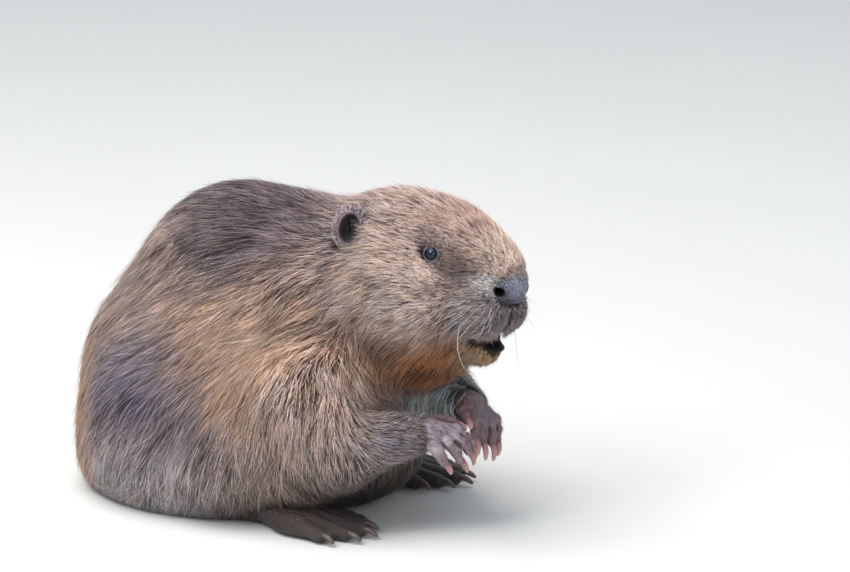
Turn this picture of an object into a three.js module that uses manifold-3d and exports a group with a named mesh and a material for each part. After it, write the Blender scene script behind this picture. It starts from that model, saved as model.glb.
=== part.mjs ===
// Young beaver sitting up on its haunches with both forepaws raised.
// Millimetres, +X towards the nose, +Y to the animal's left, +Z up, floor at z = 0.
// Every surface is the outside of the coat, or of bare skin where there is no coat.
import * as THREE from 'three';
import Module from 'manifold-3d';
import { SimplifyModifier } from 'three/addons/modifiers/SimplifyModifier.js';

const wasm = await Module();
wasm.setup();

// ---- driving dimensions ------------------------------------------------------------------

const CUT = 0.8; // width of the thin cuts between neighbouring nodes

// Trunk: rounded masses along the body, each a centre and three half sizes.
const SEAT = { at: [-60, 0, 20], size: [100, 94, 46] };
const HIPS_LOW = { at: [-48, 0, 50], size: [116, 108, 76] };
const HIPS_HIGH = { at: [-42, 0, 104], size: [118, 102, 98] };
const BACK = { at: [-14, 0, 146], size: [104, 94, 124] };
const BELLY = { at: [40, 0, 84], size: [88, 100, 84] };
const RIBS = { at: [52, 0, 150], size: [88, 88, 114] };
const PAUNCH = { at: [84, 0, 50], size: [62, 66, 46] };
const CHEST = { at: [92, 0, 112], size: [62, 78, 84] };
const SHOULDERS = { at: [108, -5, 200], size: [62, 64, 62] };
const THROAT = { at: [158, -8, 158], size: [46, 48, 44] };
const TRUNK_BLEND = 30;

// Head: its own axes run forward, left and up from a point level with the eyes.
const HEAD_AT = [196.6, -15, 241.7];
const HEAD_TURN = { yaw: -12, pitch: 12, roll: -4 };
const SKULL_BACK = { at: [-43, 0, -16], size: [59, 53, 46] };
const FOREHEAD = { at: [-4, 0, -18], size: [54, 40, 51] };
const BRIDGE = { at: [28, 0, -20], size: [34, 30, 37] };
const BRIDGE_END = { at: [43.5, 0, -2], size: [20.5, 17, 12.5] };
const CHEEK = { at: [-15, 34, -51], size: [50, 33, 38] };
const UPPER_LIP = { at: [45, 16, -42], size: [22, 18, 20] };
const JAW = { from: [0, 0, -62], to: [46, 0, -74], thick: 32, thin: 15 };
const NOSE = { at: [59, 0, -14], size: [15, 18, 15.5] };
const NOSTRIL = { at: [64, 16.5, -14.5], radius: 4 };
const NOSTRIL_ROUNDING = 1;
const EYE = { at: [1.8, 36.5, -3.2], radius: 6.2 };
const EYE_GAP = 0.5;
const EAR = { at: [-76, 51, -6], size: [9, 13, 19], facing: [0.55, 0.83, 0.08] };
const EAR_HOLLOW = { ahead: 7, size: [8, 8.2, 12.8] };
const EAR_RIM_ROUNDING = 2;
const MOUTH_FROM = 42; // how far forward of the eyes the jaw is parted
const MOUTH_TOP = -58;
const MOUTH_BOTTOM = -62;
const MOUTH_BLOCK = [160, 200, 120];
const HEAD_BLEND = 18;
const NECK_BLEND = 30;

// The cuts that part head, neck and trunk lie square to one sloping line.
const NECK_CUT_AT = [93, 0, 262];
const NECK_CUT_FACING = [0.835, 0, 0.55];
const NECK_LENGTH = 45;

// Forelegs: shoulder, elbow, wrist, and the radius at each.
const FORELEG_RIGHT = { shoulder: [85, -80, 122], elbow: [124, -86, 72], wrist: [184, -48, 88] };
const FORELEG_LEFT = { shoulder: [88, 66, 138], elbow: [138, 58, 90], wrist: [193, 18, 95] };
const SHOULDER_RADIUS = 43;
const ELBOW_RADIUS = 28;
const FOREARM_RADIUS = 25;
const WRIST_RADIUS = 14;
const ELBOW_BLEND = 20;
const FORELEG_BLEND = 36;
const FORELEG_SPREAD = 5; // how far the foreleg is parted beyond its own shape

// Forepaws. One row per digit from the thumb outwards: how far across the palm it starts
// (towards the thumb), length of palm, two finger bones and claw, sideways fan in degrees,
// and the downward bend of first bone, second bone and claw in degrees.
const PAW_RIGHT = {
  side: 1,
  turn: { yaw: 6, pitch: 15, roll: 31 },
  digits: [
    [15, 4, 8, 6, 12, 19, 1, 20, 36],
    [11, 21, 12, 9.5, 15, 4, 30, 64, 78],
    [4, 22, 10.5, 9.5, 16, 2, 21, 61, 73],
    [-4, 20, 12, 8.5, 14, -3, 40, 65, 57],
    [-16, 17, 8, 5, 12, -9, 53, 60, 53],
  ],
};
const PAW_LEFT = {
  side: -1,
  turn: { yaw: -22, pitch: 35, roll: -8 },
  digits: [
    [14, 4, 6, 4.5, 11, 16, 2, 2, 8],
    [10, 18, 7, 6, 16, 2, 50, 49, 38],
    [4, 21, 9, 6.5, 16, -2, 48, 50, 40],
    [-5, 21, 10, 7, 16, -6, 40, 55, 46],
    [-12, 19, 8, 8, 15, -10, 36, 53, 51],
  ],
};
const FINGER = { palm: 11, knuckle: 6.2, bone: 5.7, middle: 4.9, tip: 4.2 };
const THUMB = { palm: 8, knuckle: 6, bone: 5, middle: 4.5, tip: 4.5 };
const FINGER_BLEND = 2.4;
const WRIST_BLEND = 6;

// Claws: an oval ring at each share of the length, with its radius as a share of the width.
const CLAW_WIDTH = 5.6;
const CLAW_RINGS = [[-0.12, 0.5], [0.35, 0.45], [0.75, 0.27]];
const CLAW_SIDES = 5;
const CLAW_ARCH = 0.1;
const CLAW_DEPTH = 0.8;
const CLAW_GAP = 0.5;

// Hind legs and feet: mirrored, the sizes are those of the left one.
const THIGH = { at: [-15, 74, 76], size: [88, 46, 84] };
const SHANK = { from: [20, 94, 56], to: [76, 84, 46], thick: 34, thin: 26 };
const HAUNCH_SPREAD = 13; // how far the haunch is parted beyond the thigh itself
const KNEE_BLEND = 30;
const HAUNCH_BLEND = 40;
const HEEL = { at: [-10, 84, 15], radius: 15 };
const INSTEP = { at: [60, 84, 14], radius: 14 };
const TOE_ROOT = { at: [58, 84, 12], radius: 9 };
const TOE_FAN = 0.35; // how far apart the toes start, as a share of how far apart they end
const TOE_LINE = 86;
const HIND_TOES = [
  [118, -26],
  [134, -14],
  [142, 2],
  [136, 18],
  [120, 32],
];
const WEB = { at: [98, 88, 6], size: [40, 30, 6] };
const TOE_RADIUS = 7;
const FOOT_BLEND = 5;
const HIND_CLAW = { length: 15, ahead: 3, base: 8, tip: 3.5 };

// Tail: a furred root, then a flat scaly paddle lying on the floor to the animal's left.
const TAIL_AT = [-112, 16, 22];
const TAIL_ALONG = [-0.47, 0.883, 0];
const TAIL_ROOT_LENGTH = 62;
const TAIL_ROOT_RADIUS = 27;
const TAIL_ROOT_END = { along: 60, drop: 10, radius: 14 };
const TAIL_BLEND = 14;
const PADDLE_MIDDLE = 9; // height of the paddle's middle above the floor
const PADDLE_BLEND = 8;
const PADDLE = [
  { along: 100, size: [72, 42, 9] },
  { along: 140, size: [80, 47, 9] },
  { along: 185, size: [56, 42, 8] },
];

// ---- small vector and solid-shape helpers ---------------------------------------------------

const add = (a, b, scale = 1) => a.map((v, i) => v + b[i] * scale);
const dot = (a, b) => a[0] * b[0] + a[1] * b[1] + a[2] * b[2];
const unit = (a) => a.map((v) => v / Math.hypot(...a));
const cross = (a, b) => [
  a[1] * b[2] - a[2] * b[1],
  a[2] * b[0] - a[0] * b[2],
  a[0] * b[1] - a[1] * b[0],
];
const mirror = (p) => [p[0], -p[1], p[2]];

// Forward, left and up directions of a frame turned by yaw, then nose-down pitch, then roll.
function turned({ yaw, pitch, roll }) {
  const [y, p, r] = [yaw, pitch, roll].map(THREE.MathUtils.degToRad);
  const forward = [Math.cos(y) * Math.cos(p), Math.sin(y) * Math.cos(p), -Math.sin(p)];
  const level = [-Math.sin(y), Math.cos(y), 0];
  const upright = cross(forward, level);
  const left = level.map((v, i) => v * Math.cos(r) + upright[i] * Math.sin(r));
  return [forward, left, cross(forward, left)];
}

const place = (origin, axes, p) => p.reduce((at, v, i) => add(at, axes[i], v), origin);

// A shape is a function giving the signed distance from a point to its surface.
function ball(at, size, axes = [[1, 0, 0], [0, 1, 0], [0, 0, 1]]) {
  return (p) => {
    const d = add(p, at, -1);
    const q = axes.map((axis) => dot(d, axis));
    const near = Math.hypot(q[0] / size[0], q[1] / size[1], q[2] / size[2]);
    const slope = Math.hypot(q[0] / size[0] ** 2, q[1] / size[1] ** 2, q[2] / size[2] ** 2);
    return (near * (near - 1)) / (slope + 1e-9);
  };
}

function limb(from, to, thick, thin) {
  const along = add(to, from, -1);
  return (p) => {
    const d = add(p, from, -1);
    const t = THREE.MathUtils.clamp(dot(d, along) / dot(along, along), 0, 1);
    return Math.hypot(...add(d, along, -t)) - (thick + (thin - thick) * t);
  };
}

function soften(a, b, blend) {
  const h = Math.max(blend - Math.abs(a - b), 0) / blend;
  return Math.min(a, b) - h * h * blend * 0.25;
}

const join = (blend, first, ...rest) => (p) =>
  rest.reduce((d, shape) => soften(d, shape(p), blend), first(p));
const carve = (blend, shape, hollow) => (p) => -soften(-shape(p), hollow(p), blend);
const grown = (shape, by) => (p) => shape(p) - by;

// ---- the animal's shapes --------------------------------------------------------------------

const headAxes = turned(HEAD_TURN);
const onHead = (p) => place(HEAD_AT, headAxes, p);
const headBall = ({ at, size }, side = 1) => ball(onHead([at[0], at[1] * side, at[2]]), size, headAxes);
const bodyBall = ({ at, size }, side = 1) => ball([at[0], at[1] * side, at[2]], size);

const trunkMasses = [SEAT, HIPS_LOW, HIPS_HIGH, BACK, BELLY, PAUNCH, RIBS, CHEST, SHOULDERS, THROAT];
const trunkShape = join(TRUNK_BLEND, ...trunkMasses.map((mass) => bodyBall(mass)));

const headShape = join(
  HEAD_BLEND,
  headBall(SKULL_BACK),
  headBall(FOREHEAD),
  headBall(BRIDGE),
  headBall(BRIDGE_END),
  headBall(CHEEK, 1),
  headBall(CHEEK, -1),
  headBall(UPPER_LIP, 1),
  headBall(UPPER_LIP, -1),
  limb(onHead(JAW.from), onHead(JAW.to), JAW.thick, JAW.thin),
);

function forelegShape({ shoulder, elbow, wrist }) {
  const upper = limb(shoulder, elbow, SHOULDER_RADIUS, ELBOW_RADIUS);
  const lower = limb(elbow, wrist, FOREARM_RADIUS, WRIST_RADIUS);
  return join(ELBOW_BLEND, upper, lower);
}

function hindLegShape(side) {
  const at = (p) => (side > 0 ? p : mirror(p));
  const shank = limb(at(SHANK.from), at(SHANK.to), SHANK.thick, SHANK.thin);
  return join(KNEE_BLEND, bodyBall(THIGH, side), shank);
}

function earShape(side) {
  const at = onHead([EAR.at[0], EAR.at[1] * side, EAR.at[2]]);
  const facing = [EAR.facing[0], EAR.facing[1] * side, EAR.facing[2]];
  const out = unit(place([0, 0, 0], headAxes, facing));
  const up = unit(add(headAxes[2], out, -dot(headAxes[2], out)));
  const axes = [out, cross(up, out), up];
  const cup = ball(at, EAR.size, axes);
  return carve(EAR_RIM_ROUNDING, cup, ball(add(at, out, EAR_HOLLOW.ahead), EAR_HOLLOW.size, axes));
}

// Knuckle, middle joint, claw base and claw tip of every digit of a forepaw.
function digitsOf(paw, wrist) {
  const [forward, left, up] = turned(paw.turn);
  const inward = left.map((v) => v * paw.side);
  return paw.digits.map(([across, palm, bone1, bone2, claw, fan, ...bends]) => {
    const fanned = THREE.MathUtils.degToRad(fan);
    const lie = add(forward.map((v) => v * Math.cos(fanned)), inward, Math.sin(fanned));
    const points = [add(add(wrist, forward, palm), inward, across)];
    [bone1, bone2, claw].forEach((length, i) => {
      const bend = THREE.MathUtils.degToRad(bends[i]);
      const way = add(lie.map((v) => v * Math.cos(bend)), up, -Math.sin(bend));
      points.push(add(points[i], way, length));
    });
    return points;
  });
}

function pawShape(digits, wrist) {
  const fingers = digits.flatMap(([knuckle, joint, base], i) => {
    const radius = i ? FINGER : THUMB;
    return [
      limb(wrist, knuckle, radius.palm, radius.knuckle),
      limb(knuckle, joint, radius.bone, radius.middle),
      limb(joint, base, radius.middle, radius.tip),
    ];
  });
  return join(FINGER_BLEND, ...fingers);
}

function hindFootShape(side) {
  const at = (p) => (side > 0 ? p : mirror(p));
  const toes = HIND_TOES.map(([x, across]) => limb(
    at(add(TOE_ROOT.at, [0, across * TOE_FAN, 0])),
    at([x, TOE_LINE + across, TOE_RADIUS]),
    TOE_ROOT.radius,
    TOE_RADIUS,
  ));
  const sole = limb(at(HEEL.at), at(INSTEP.at), HEEL.radius, INSTEP.radius);
  return join(FOOT_BLEND, sole, ...toes, bodyBall(WEB, side));
}

const tailAcross = [TAIL_ALONG[1], -TAIL_ALONG[0], 0];
const tailAxes = [TAIL_ALONG, tailAcross.map((v) => -v), [0, 0, 1]];
const tailFloor = [TAIL_AT[0], TAIL_AT[1], PADDLE_MIDDLE];
const paddleShape = join(
  PADDLE_BLEND,
  ...PADDLE.map(({ along, size }) => ball(add(tailFloor, TAIL_ALONG, along), size, tailAxes)),
);
const rootEnd = add(add(TAIL_AT, TAIL_ALONG, TAIL_ROOT_END.along), [0, 0, -TAIL_ROOT_END.drop]);
const rootShape = limb(TAIL_AT, rootEnd, TAIL_ROOT_RADIUS, TAIL_ROOT_END.radius);
const tailShape = join(TAIL_BLEND, paddleShape, rootShape);

const forelegRight = forelegShape(FORELEG_RIGHT);
const forelegLeft = forelegShape(FORELEG_LEFT);
const hindLegs = { right: hindLegShape(-1), left: hindLegShape(1) };
const legsAndTrunk = join(HAUNCH_BLEND, trunkShape, hindLegs.right, hindLegs.left);
const withForelegs = join(FORELEG_BLEND, legsAndTrunk, forelegRight, forelegLeft);
const coat = join(NECK_BLEND, withForelegs, headShape);

// ---- meshing --------------------------------------------------------------------------------

// For each blank: the box it is taken in, the grid's step and the share of corners kept.
const BODY_CUT = { low: [-300, -160, -10], high: [300, 300, 330], step: 13, share: 0.14 };
const HEAD_CUT = { low: [60, -110, 70], high: [300, 100, 330], step: 8, share: 0.205 };
const FORELEG_BLANK = { low: [10, 0, 20], high: [230, 160, 220], step: 10, share: 0.11 };
const FORELEG_CUT = { low: [10, 0, -12], high: [230, 160, 220], step: 9, share: 0.205 };
const HAUNCH_BLANK = { low: [-140, 0, -30], high: [130, 160, 200], step: 14, share: 0.115 };
const FOOT_CUT = { low: [-40, 30, -14], high: [170, 150, 40], step: 6, share: 0.18 };
const TAIL_CUT = { low: [-280, -40, -10], high: [-60, 290, 60], step: 7, share: 0.17 };
const HAND_CUT = { low: [-24, -44, -52], high: [52, 44, 34], step: 3.6, share: 0.19 };
const EAR_CUT = { low: [-22, -22, -24], high: [22, 22, 24], step: 3, share: 0.2 };
const NOSE_CUT = { low: [-20, -24, -20], high: [20, 24, 20], step: 3, share: 0.18 };
const ATTEMPTS = 12;
const SHIFTS = 7; // how many places within a cell the grid is moved to

// The same box on the other side of the animal.
function onSide({ low, high, step, share }, side) {
  const flipped = [low, high].map((p) => p[1] * side).sort((a, b) => a - b);
  return {
    low: [low[0], flipped[0], low[2]],
    high: [high[0], flipped[1], high[2]],
    step,
    share,
  };
}

const around = (middle, { low, high, step, share }) =>
  ({ low: add(middle, low), high: add(middle, high), step, share });

// Surface of a shape inside a box, on a grid of the given step, thinned to the wanted
// share of its corners, as a closed solid. Where a grid pinches the surface so that it is
// not a clean solid, the grid is shifted a little and the surface taken again.
async function solidOf(shape, { low, high, step, share }) {
  for (let attempt = 0; attempt < ATTEMPTS; attempt += 1) {
    const shifted = low.map((v, i) => v - (step * ((attempt * (i + 2)) % SHIFTS)) / SHIFTS);
    const full = surfaceOf(shape, shifted, high, step);
    const drop = Math.round(full.getAttribute('position').count * (1 - share));
    const geometry = drop ? await new SimplifyModifier().modify(full, drop) : full;
    try {
      return toSolid(geometry);
    } catch (error) {
      if (attempt === ATTEMPTS - 1) throw error;
    }
  }
  return null;
}

function surfaceOf(shape, low, high, step) {
  const count = low.map((v, i) => Math.ceil((high[i] - v) / step) + 1);
  const index = (i, j, k) => (i * count[1] + j) * count[2] + k;
  const value = new Float32Array(count[0] * count[1] * count[2]);
  for (let i = 0; i < count[0]; i += 1) {
    for (let j = 0; j < count[1]; j += 1) {
      for (let k = 0; k < count[2]; k += 1) {
        const rim = [i, j, k].some((v, axis) => v === 0 || v === count[axis] - 1);
        const p = [low[0] + i * step, low[1] + j * step, low[2] + k * step];
        const d = shape(p);
        value[index(i, j, k)] = rim ? Math.max(d, step / 2) : d;
      }
    }
  }
  const cornerAt = new Map();
  const positions = [];
  const corner = (i, j, k) => {
    const key = index(i, j, k);
    if (!cornerAt.has(key)) {
      const sum = [0, 0, 0];
      let crossings = 0;
      for (let axis = 0; axis < 3; axis += 1) {
        for (let side = 0; side < 4; side += 1) {
          const from = [i, j, k];
          from[(axis + 1) % 3] += side & 1;
          from[(axis + 2) % 3] += side >> 1;
          const to = from.slice();
          to[axis] += 1;
          const a = value[index(...from)];
          const b = value[index(...to)];
          if (a < 0 !== b < 0) {
            const t = a / (a - b);
            from.forEach((v, n) => {
              sum[n] += low[n] + (v + (to[n] - v) * t) * step;
            });
            crossings += 1;
          }
        }
      }
      cornerAt.set(key, positions.length / 3);
      positions.push(...sum.map((v) => v / crossings));
    }
    return cornerAt.get(key);
  };
  const triangles = [];
  for (let i = 0; i < count[0] - 1; i += 1) {
    for (let j = 0; j < count[1] - 1; j += 1) {
      for (let k = 0; k < count[2] - 1; k += 1) {
        for (let axis = 0; axis < 3; axis += 1) {
          const next = [i, j, k];
          next[axis] += 1;
          const a = value[index(i, j, k)];
          const b = value[index(...next)];
          if (a < 0 !== b < 0) {
            const u = [0, 0, 0];
            const v = [0, 0, 0];
            u[(axis + 1) % 3] = 1;
            v[(axis + 2) % 3] = 1;
            const q = [
              corner(i - u[0] - v[0], j - u[1] - v[1], k - u[2] - v[2]),
              corner(i - v[0], j - v[1], k - v[2]),
              corner(i, j, k),
              corner(i - u[0], j - u[1], k - u[2]),
            ];
            if (a > 0) {
              q.reverse();
            }
            triangles.push(q[0], q[1], q[2], q[0], q[2], q[3]);
          }
        }
      }
    }
  }
  const geometry = new THREE.BufferGeometry();
  geometry.setAttribute('position', new THREE.Float32BufferAttribute(positions, 3));
  geometry.setIndex(triangles);
  return geometry;
}

function toSolid(geometry) {
  const vertProperties = Float32Array.from(geometry.getAttribute('position').array);
  const triVerts = Uint32Array.from(geometry.getIndex().array);
  return new wasm.Manifold(new wasm.Mesh({ numProp: 3, vertProperties, triVerts }));
}

function toGeometry(solid) {
  const mesh = solid.getMesh();
  const positions = [];
  for (let i = 0; i < mesh.numVert; i += 1) {
    for (let axis = 0; axis < 3; axis += 1) {
      positions.push(mesh.vertProperties[i * mesh.numProp + axis]);
    }
  }
  const geometry = new THREE.BufferGeometry();
  geometry.setAttribute('position', new THREE.Float32BufferAttribute(positions, 3));
  geometry.setIndex(Array.from(mesh.triVerts));
  return geometry;
}

// The same solid with every corner moved outwards, for cutting a seat with a thin gap.
function seatFor(solid, gap = CUT) {
  const geometry = toGeometry(solid);
  geometry.computeVertexNormals();
  const position = geometry.getAttribute('position');
  const normal = geometry.getAttribute('normal');
  for (let i = 0; i < position.count; i += 1) {
    position.setXYZ(
      i,
      position.getX(i) + normal.getX(i) * gap,
      position.getY(i) + normal.getY(i) * gap,
      position.getZ(i) + normal.getZ(i) * gap,
    );
  }
  return toSolid(geometry).add(solid);
}

// A block filling the space between two planes square to a direction.
const FAR = 600; // beyond the whole animal, from any place on it
function slab(at, facing, from, to) {
  const box = new THREE.BoxGeometry(FAR * 2, FAR * 2, to - from);
  box.deleteAttribute('uv');
  box.deleteAttribute('normal');
  box.translate(0, 0, (from + to) / 2);
  const towards = new THREE.Vector3(...unit(facing));
  box.applyQuaternion(new THREE.Quaternion().setFromUnitVectors(new THREE.Vector3(0, 0, 1), towards));
  box.translate(...at);
  return toSolid(welded(box));
}

function welded(geometry) {
  const position = geometry.getAttribute('position');
  const index = geometry.getIndex();
  const found = new Map();
  const positions = [];
  const triangles = [];
  for (let i = 0; i < index.count; i += 1) {
    const n = index.getX(i);
    const p = [position.getX(n), position.getY(n), position.getZ(n)];
    const key = p.map((v) => Math.round(v * 1000)).join(',');
    if (!found.has(key)) {
      found.set(key, positions.length / 3);
      positions.push(...p);
    }
    triangles.push(found.get(key));
  }
  const faces = [];
  for (let i = 0; i < triangles.length; i += 3) {
    const [a, b, c] = triangles.slice(i, i + 3);
    if (a !== b && b !== c && c !== a) {
      faces.push(a, b, c);
    }
  }
  const result = new THREE.BufferGeometry();
  result.setAttribute('position', new THREE.Float32BufferAttribute(positions, 3));
  result.setIndex(faces);
  return result;
}

// A claw: oval rings along a bent line from base to tip, closed at both ends.
function clawSolid(base, tip, under, width) {
  const along = add(tip, base, -1);
  const length = Math.hypot(...along);
  const ahead = unit(along);
  const down = unit(add(under, ahead, -dot(under, ahead)));
  const across = cross(ahead, down);
  const sides = CLAW_SIDES;
  const positions = [];
  CLAW_RINGS.forEach(([t, radius]) => {
    const arch = Math.sin(Math.PI * Math.max(t, 0)) * length * CLAW_ARCH;
    const middle = add(add(base, along, t), down, -arch);
    for (let i = 0; i < sides; i += 1) {
      const turn = (i / sides) * Math.PI * 2;
      const side = add(middle, across, Math.cos(turn) * radius * width);
      positions.push(...add(side, down, Math.sin(turn) * radius * width * CLAW_DEPTH));
    }
  });
  const point = positions.length / 3;
  positions.push(...tip);
  const triangles = [];
  for (let i = 0; i < sides; i += 1) {
    const next = (i + 1) % sides;
    for (let ring = 0; ring < CLAW_RINGS.length - 1; ring += 1) {
      const a = ring * sides;
      triangles.push(a + i, a + sides + i, a + next, a + next, a + sides + i, a + sides + next);
    }
    const last = (CLAW_RINGS.length - 1) * sides;
    triangles.push(last + i, point, last + next);
    if (i > 0 && i < sides - 1) {
      triangles.push(0, i, i + 1);
    }
  }
  const geometry = new THREE.BufferGeometry();
  geometry.setAttribute('position', new THREE.Float32BufferAttribute(positions, 3));
  geometry.setIndex(triangles);
  const solid = toSolid(geometry);
  if (solid.volume() > 0) {
    return solid;
  }
  const turnedOut = [];
  for (let i = 0; i < triangles.length; i += 3) {
    turnedOut.push(triangles[i], triangles[i + 2], triangles[i + 1]);
  }
  geometry.setIndex(turnedOut);
  return toSolid(geometry);
}

// ---- cutting the animal into named nodes ------------------------------------------------------

const nodes = {};
const aboveFloor = slab([0, 0, 0], [0, 0, 1], 0, FAR);
const sides = [['left', 1], ['right', -1]];

const wholeCoat = (await solidOf(coat, BODY_CUT)).intersect(aboveFloor);
const headCoat = await solidOf(coat, HEAD_CUT);

// Seats in the trunk for what grows from it.
const forelegMasses = { left: forelegLeft, right: forelegRight };
const hindLegSeats = {};
const forelegSeats = {};
let trunk = wholeCoat;
let neck = wholeCoat;
const headSide = slab(NECK_CUT_AT, NECK_CUT_FACING, CUT / 2, FAR);
const neckSide = slab(NECK_CUT_AT, NECK_CUT_FACING, -NECK_LENGTH, -CUT / 2);
const trunkSide = slab(NECK_CUT_AT, NECK_CUT_FACING, -FAR, -NECK_LENGTH - CUT);

for (const [name, side] of sides) {
  const upper = grown(forelegMasses[name], FORELEG_SPREAD);
  const forelegBlank = await solidOf(upper, onSide(FORELEG_BLANK, side));
  forelegSeats[name] = seatFor(forelegBlank);
  const haunch = grown(hindLegs[name], HAUNCH_SPREAD);
  const hindBlank = await solidOf(haunch, onSide(HAUNCH_BLANK, side));
  hindLegSeats[name] = seatFor(hindBlank);
  const near = await solidOf(coat, onSide(FORELEG_CUT, side));
  const { elbow, wrist } = name === 'left' ? FORELEG_LEFT : FORELEG_RIGHT;
  const reach = unit(add(wrist, elbow, -1));
  const wristCut = slab(wrist, reach, -FAR, -CUT / 2);
  nodes[`foreleg_${name}`] = near.intersect(forelegBlank).intersect(wristCut);
  nodes[`hind_leg_${name}`] = wholeCoat.intersect(hindBlank).subtract(forelegSeats[name]);
}

// Hind feet, with a claw on every toe.
for (const [name, side] of sides) {
  const at = (p) => (side > 0 ? p : mirror(p));
  let foot = (await solidOf(hindFootShape(side), onSide(FOOT_CUT, side))).intersect(aboveFloor);
  const footSeat = seatFor(foot);
  nodes[`hind_leg_${name}`] = nodes[`hind_leg_${name}`].subtract(footSeat);
  trunk = trunk.subtract(footSeat);
  HIND_TOES.forEach(([x, across], i) => {
    const start = [TOE_ROOT.at[0], TOE_ROOT.at[1] + across * TOE_FAN, 0];
    const end = [x, TOE_LINE + across, 0];
    const way = unit(add(end, start, -1));
    const { length, ahead, base: high, tip: low } = HIND_CLAW;
    const base = add([end[0], end[1], high], way, ahead);
    const tip = add([end[0], end[1], low], way, ahead + length);
    const claw = clawSolid(at(base), at(tip), [0, 0, -1], CLAW_WIDTH);
    foot = foot.subtract(seatFor(claw, CLAW_GAP));
    nodes[`hind_claw_${name}_${i + 1}`] = claw;
  });
  nodes[`hind_foot_${name}`] = foot;
}

// Tail: the furred root sits in the rump, the paddle follows it.
const tailWhole = (await solidOf(tailShape, TAIL_CUT)).intersect(aboveFloor);
const tailCut = (from, to) => slab(tailFloor, TAIL_ALONG, from, to);
nodes.tail_root = tailWhole.intersect(tailCut(-FAR, TAIL_ROOT_LENGTH - CUT / 2));
nodes.tail_paddle = tailWhole.intersect(tailCut(TAIL_ROOT_LENGTH + CUT / 2, FAR));
trunk = trunk.subtract(seatFor(tailWhole));

for (const [name] of sides) {
  trunk = trunk.subtract(hindLegSeats[name]).subtract(forelegSeats[name]);
  neck = neck.subtract(forelegSeats[name]);
}
nodes.trunk = trunk.intersect(trunkSide);
nodes.neck = neck.intersect(neckSide).subtract(hindLegSeats.left).subtract(hindLegSeats.right);

// Forepaws, cut square to the forearm at the wrist.
for (const [name, side] of sides) {
  const paw = name === 'left' ? PAW_LEFT : PAW_RIGHT;
  const { elbow, wrist } = name === 'left' ? FORELEG_LEFT : FORELEG_RIGHT;
  const digits = digitsOf(paw, wrist);
  const shape = join(WRIST_BLEND, pawShape(digits, wrist), forelegMasses[name]);
  const reach = unit(add(wrist, elbow, -1));
  const beyondWrist = slab(wrist, reach, CUT / 2, FAR);
  let hand = (await solidOf(shape, around(wrist, HAND_CUT))).intersect(beyondWrist);
  nodes.neck = nodes.neck.subtract(seatFor(hand));
  const [, , up] = turned(paw.turn);
  digits.forEach(([, , base, tip], i) => {
    const claw = clawSolid(base, tip, up.map((v) => -v), CLAW_WIDTH);
    hand = hand.subtract(seatFor(claw, CLAW_GAP));
    nodes[`fore_claw_${name}_${i + 1}`] = claw;
  });
  nodes[`forepaw_${name}`] = hand;
}

// Head, lower jaw, nose, eyes and ears.
let head = headCoat.intersect(headSide);
for (const [name, side] of sides) {
  const at = onHead([EYE.at[0], EYE.at[1] * side, EYE.at[2]]);
  const globe = (radius) => {
    const sphere = new THREE.IcosahedronGeometry(radius, 1);
    sphere.setIndex([...Array(sphere.getAttribute('position').count).keys()]);
    sphere.translate(...at);
    return toSolid(welded(sphere));
  };
  nodes[`eye_${name}`] = globe(EYE.radius);
  head = head.subtract(globe(EYE.radius + EYE_GAP)).subtract(forelegSeats[name]);
  const middle = onHead([EAR.at[0], EAR.at[1] * side, EAR.at[2]]);
  const ear = await solidOf(earShape(side), around(middle, EAR_CUT));
  nodes[`ear_${name}`] = ear;
  head = head.subtract(seatFor(ear));
  nodes.neck = nodes.neck.subtract(seatFor(ear));
}
const noseHollow = (side) =>
  ball(onHead([NOSTRIL.at[0], NOSTRIL.at[1] * side, NOSTRIL.at[2]]), Array(3).fill(NOSTRIL.radius));
const noseShape = sides.reduce(
  (shape, [, side]) => carve(NOSTRIL_ROUNDING, shape, noseHollow(side)), headBall(NOSE));
const nose = await solidOf(noseShape, around(onHead(NOSE.at), NOSE_CUT));
nodes.nose_pad = nose;
head = head.subtract(seatFor(nose));

// A block below a level of the head and forward of a place on it.
function mouthBlock(from, top) {
  const [long, wide, high] = MOUTH_BLOCK;
  const box = new THREE.BoxGeometry(long, wide, high);
  box.translate(from + long / 2, 0, top - high / 2);
  const basis = new THREE.Matrix4().makeBasis(...headAxes.map((axis) => new THREE.Vector3(...axis)));
  box.applyMatrix4(basis);
  box.translate(...HEAD_AT);
  return toSolid(welded(box));
}
nodes.lower_jaw = head.intersect(mouthBlock(MOUTH_FROM, MOUTH_BOTTOM));
nodes.head = head.subtract(mouthBlock(MOUTH_FROM - CUT, MOUTH_TOP));

// ---- materials and the finished group -------------------------------------------------------

const LOOKS = {
  fur: { color: 0x7a5a40, roughness: 0.9, metalness: 0 },
  bare_skin: { color: 0x4a3c3c, roughness: 0.6, metalness: 0 },
  nose_leather: { color: 0x55545a, roughness: 0.55, metalness: 0 },
  eye: { color: 0x120d0b, roughness: 0.08, metalness: 0 },
  claw_horn: { color: 0xa87d72, roughness: 0.4, metalness: 0 },
  tail_leather: { color: 0x3b3634, roughness: 0.6, metalness: 0 },
};

function lookOf(name) {
  if (name.startsWith('eye')) return LOOKS.eye;
  if (name.includes('claw')) return LOOKS.claw_horn;
  if (name.startsWith('forepaw') || name.startsWith('hind_foot')) return LOOKS.bare_skin;
  if (name === 'tail_paddle') return LOOKS.tail_leather;
  if (name === 'nose_pad') return LOOKS.nose_leather;
  return LOOKS.fur;
}

const beaver = new THREE.Group();
beaver.name = 'beaver';
for (const [name, solid] of Object.entries(nodes)) {
  const largest = solid.decompose().sort((a, b) => b.volume() - a.volume())[0];
  const mesh = new THREE.Mesh(toGeometry(largest), new THREE.MeshStandardMaterial(lookOf(name)));
  mesh.name = name;
  beaver.add(mesh);
}

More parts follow.
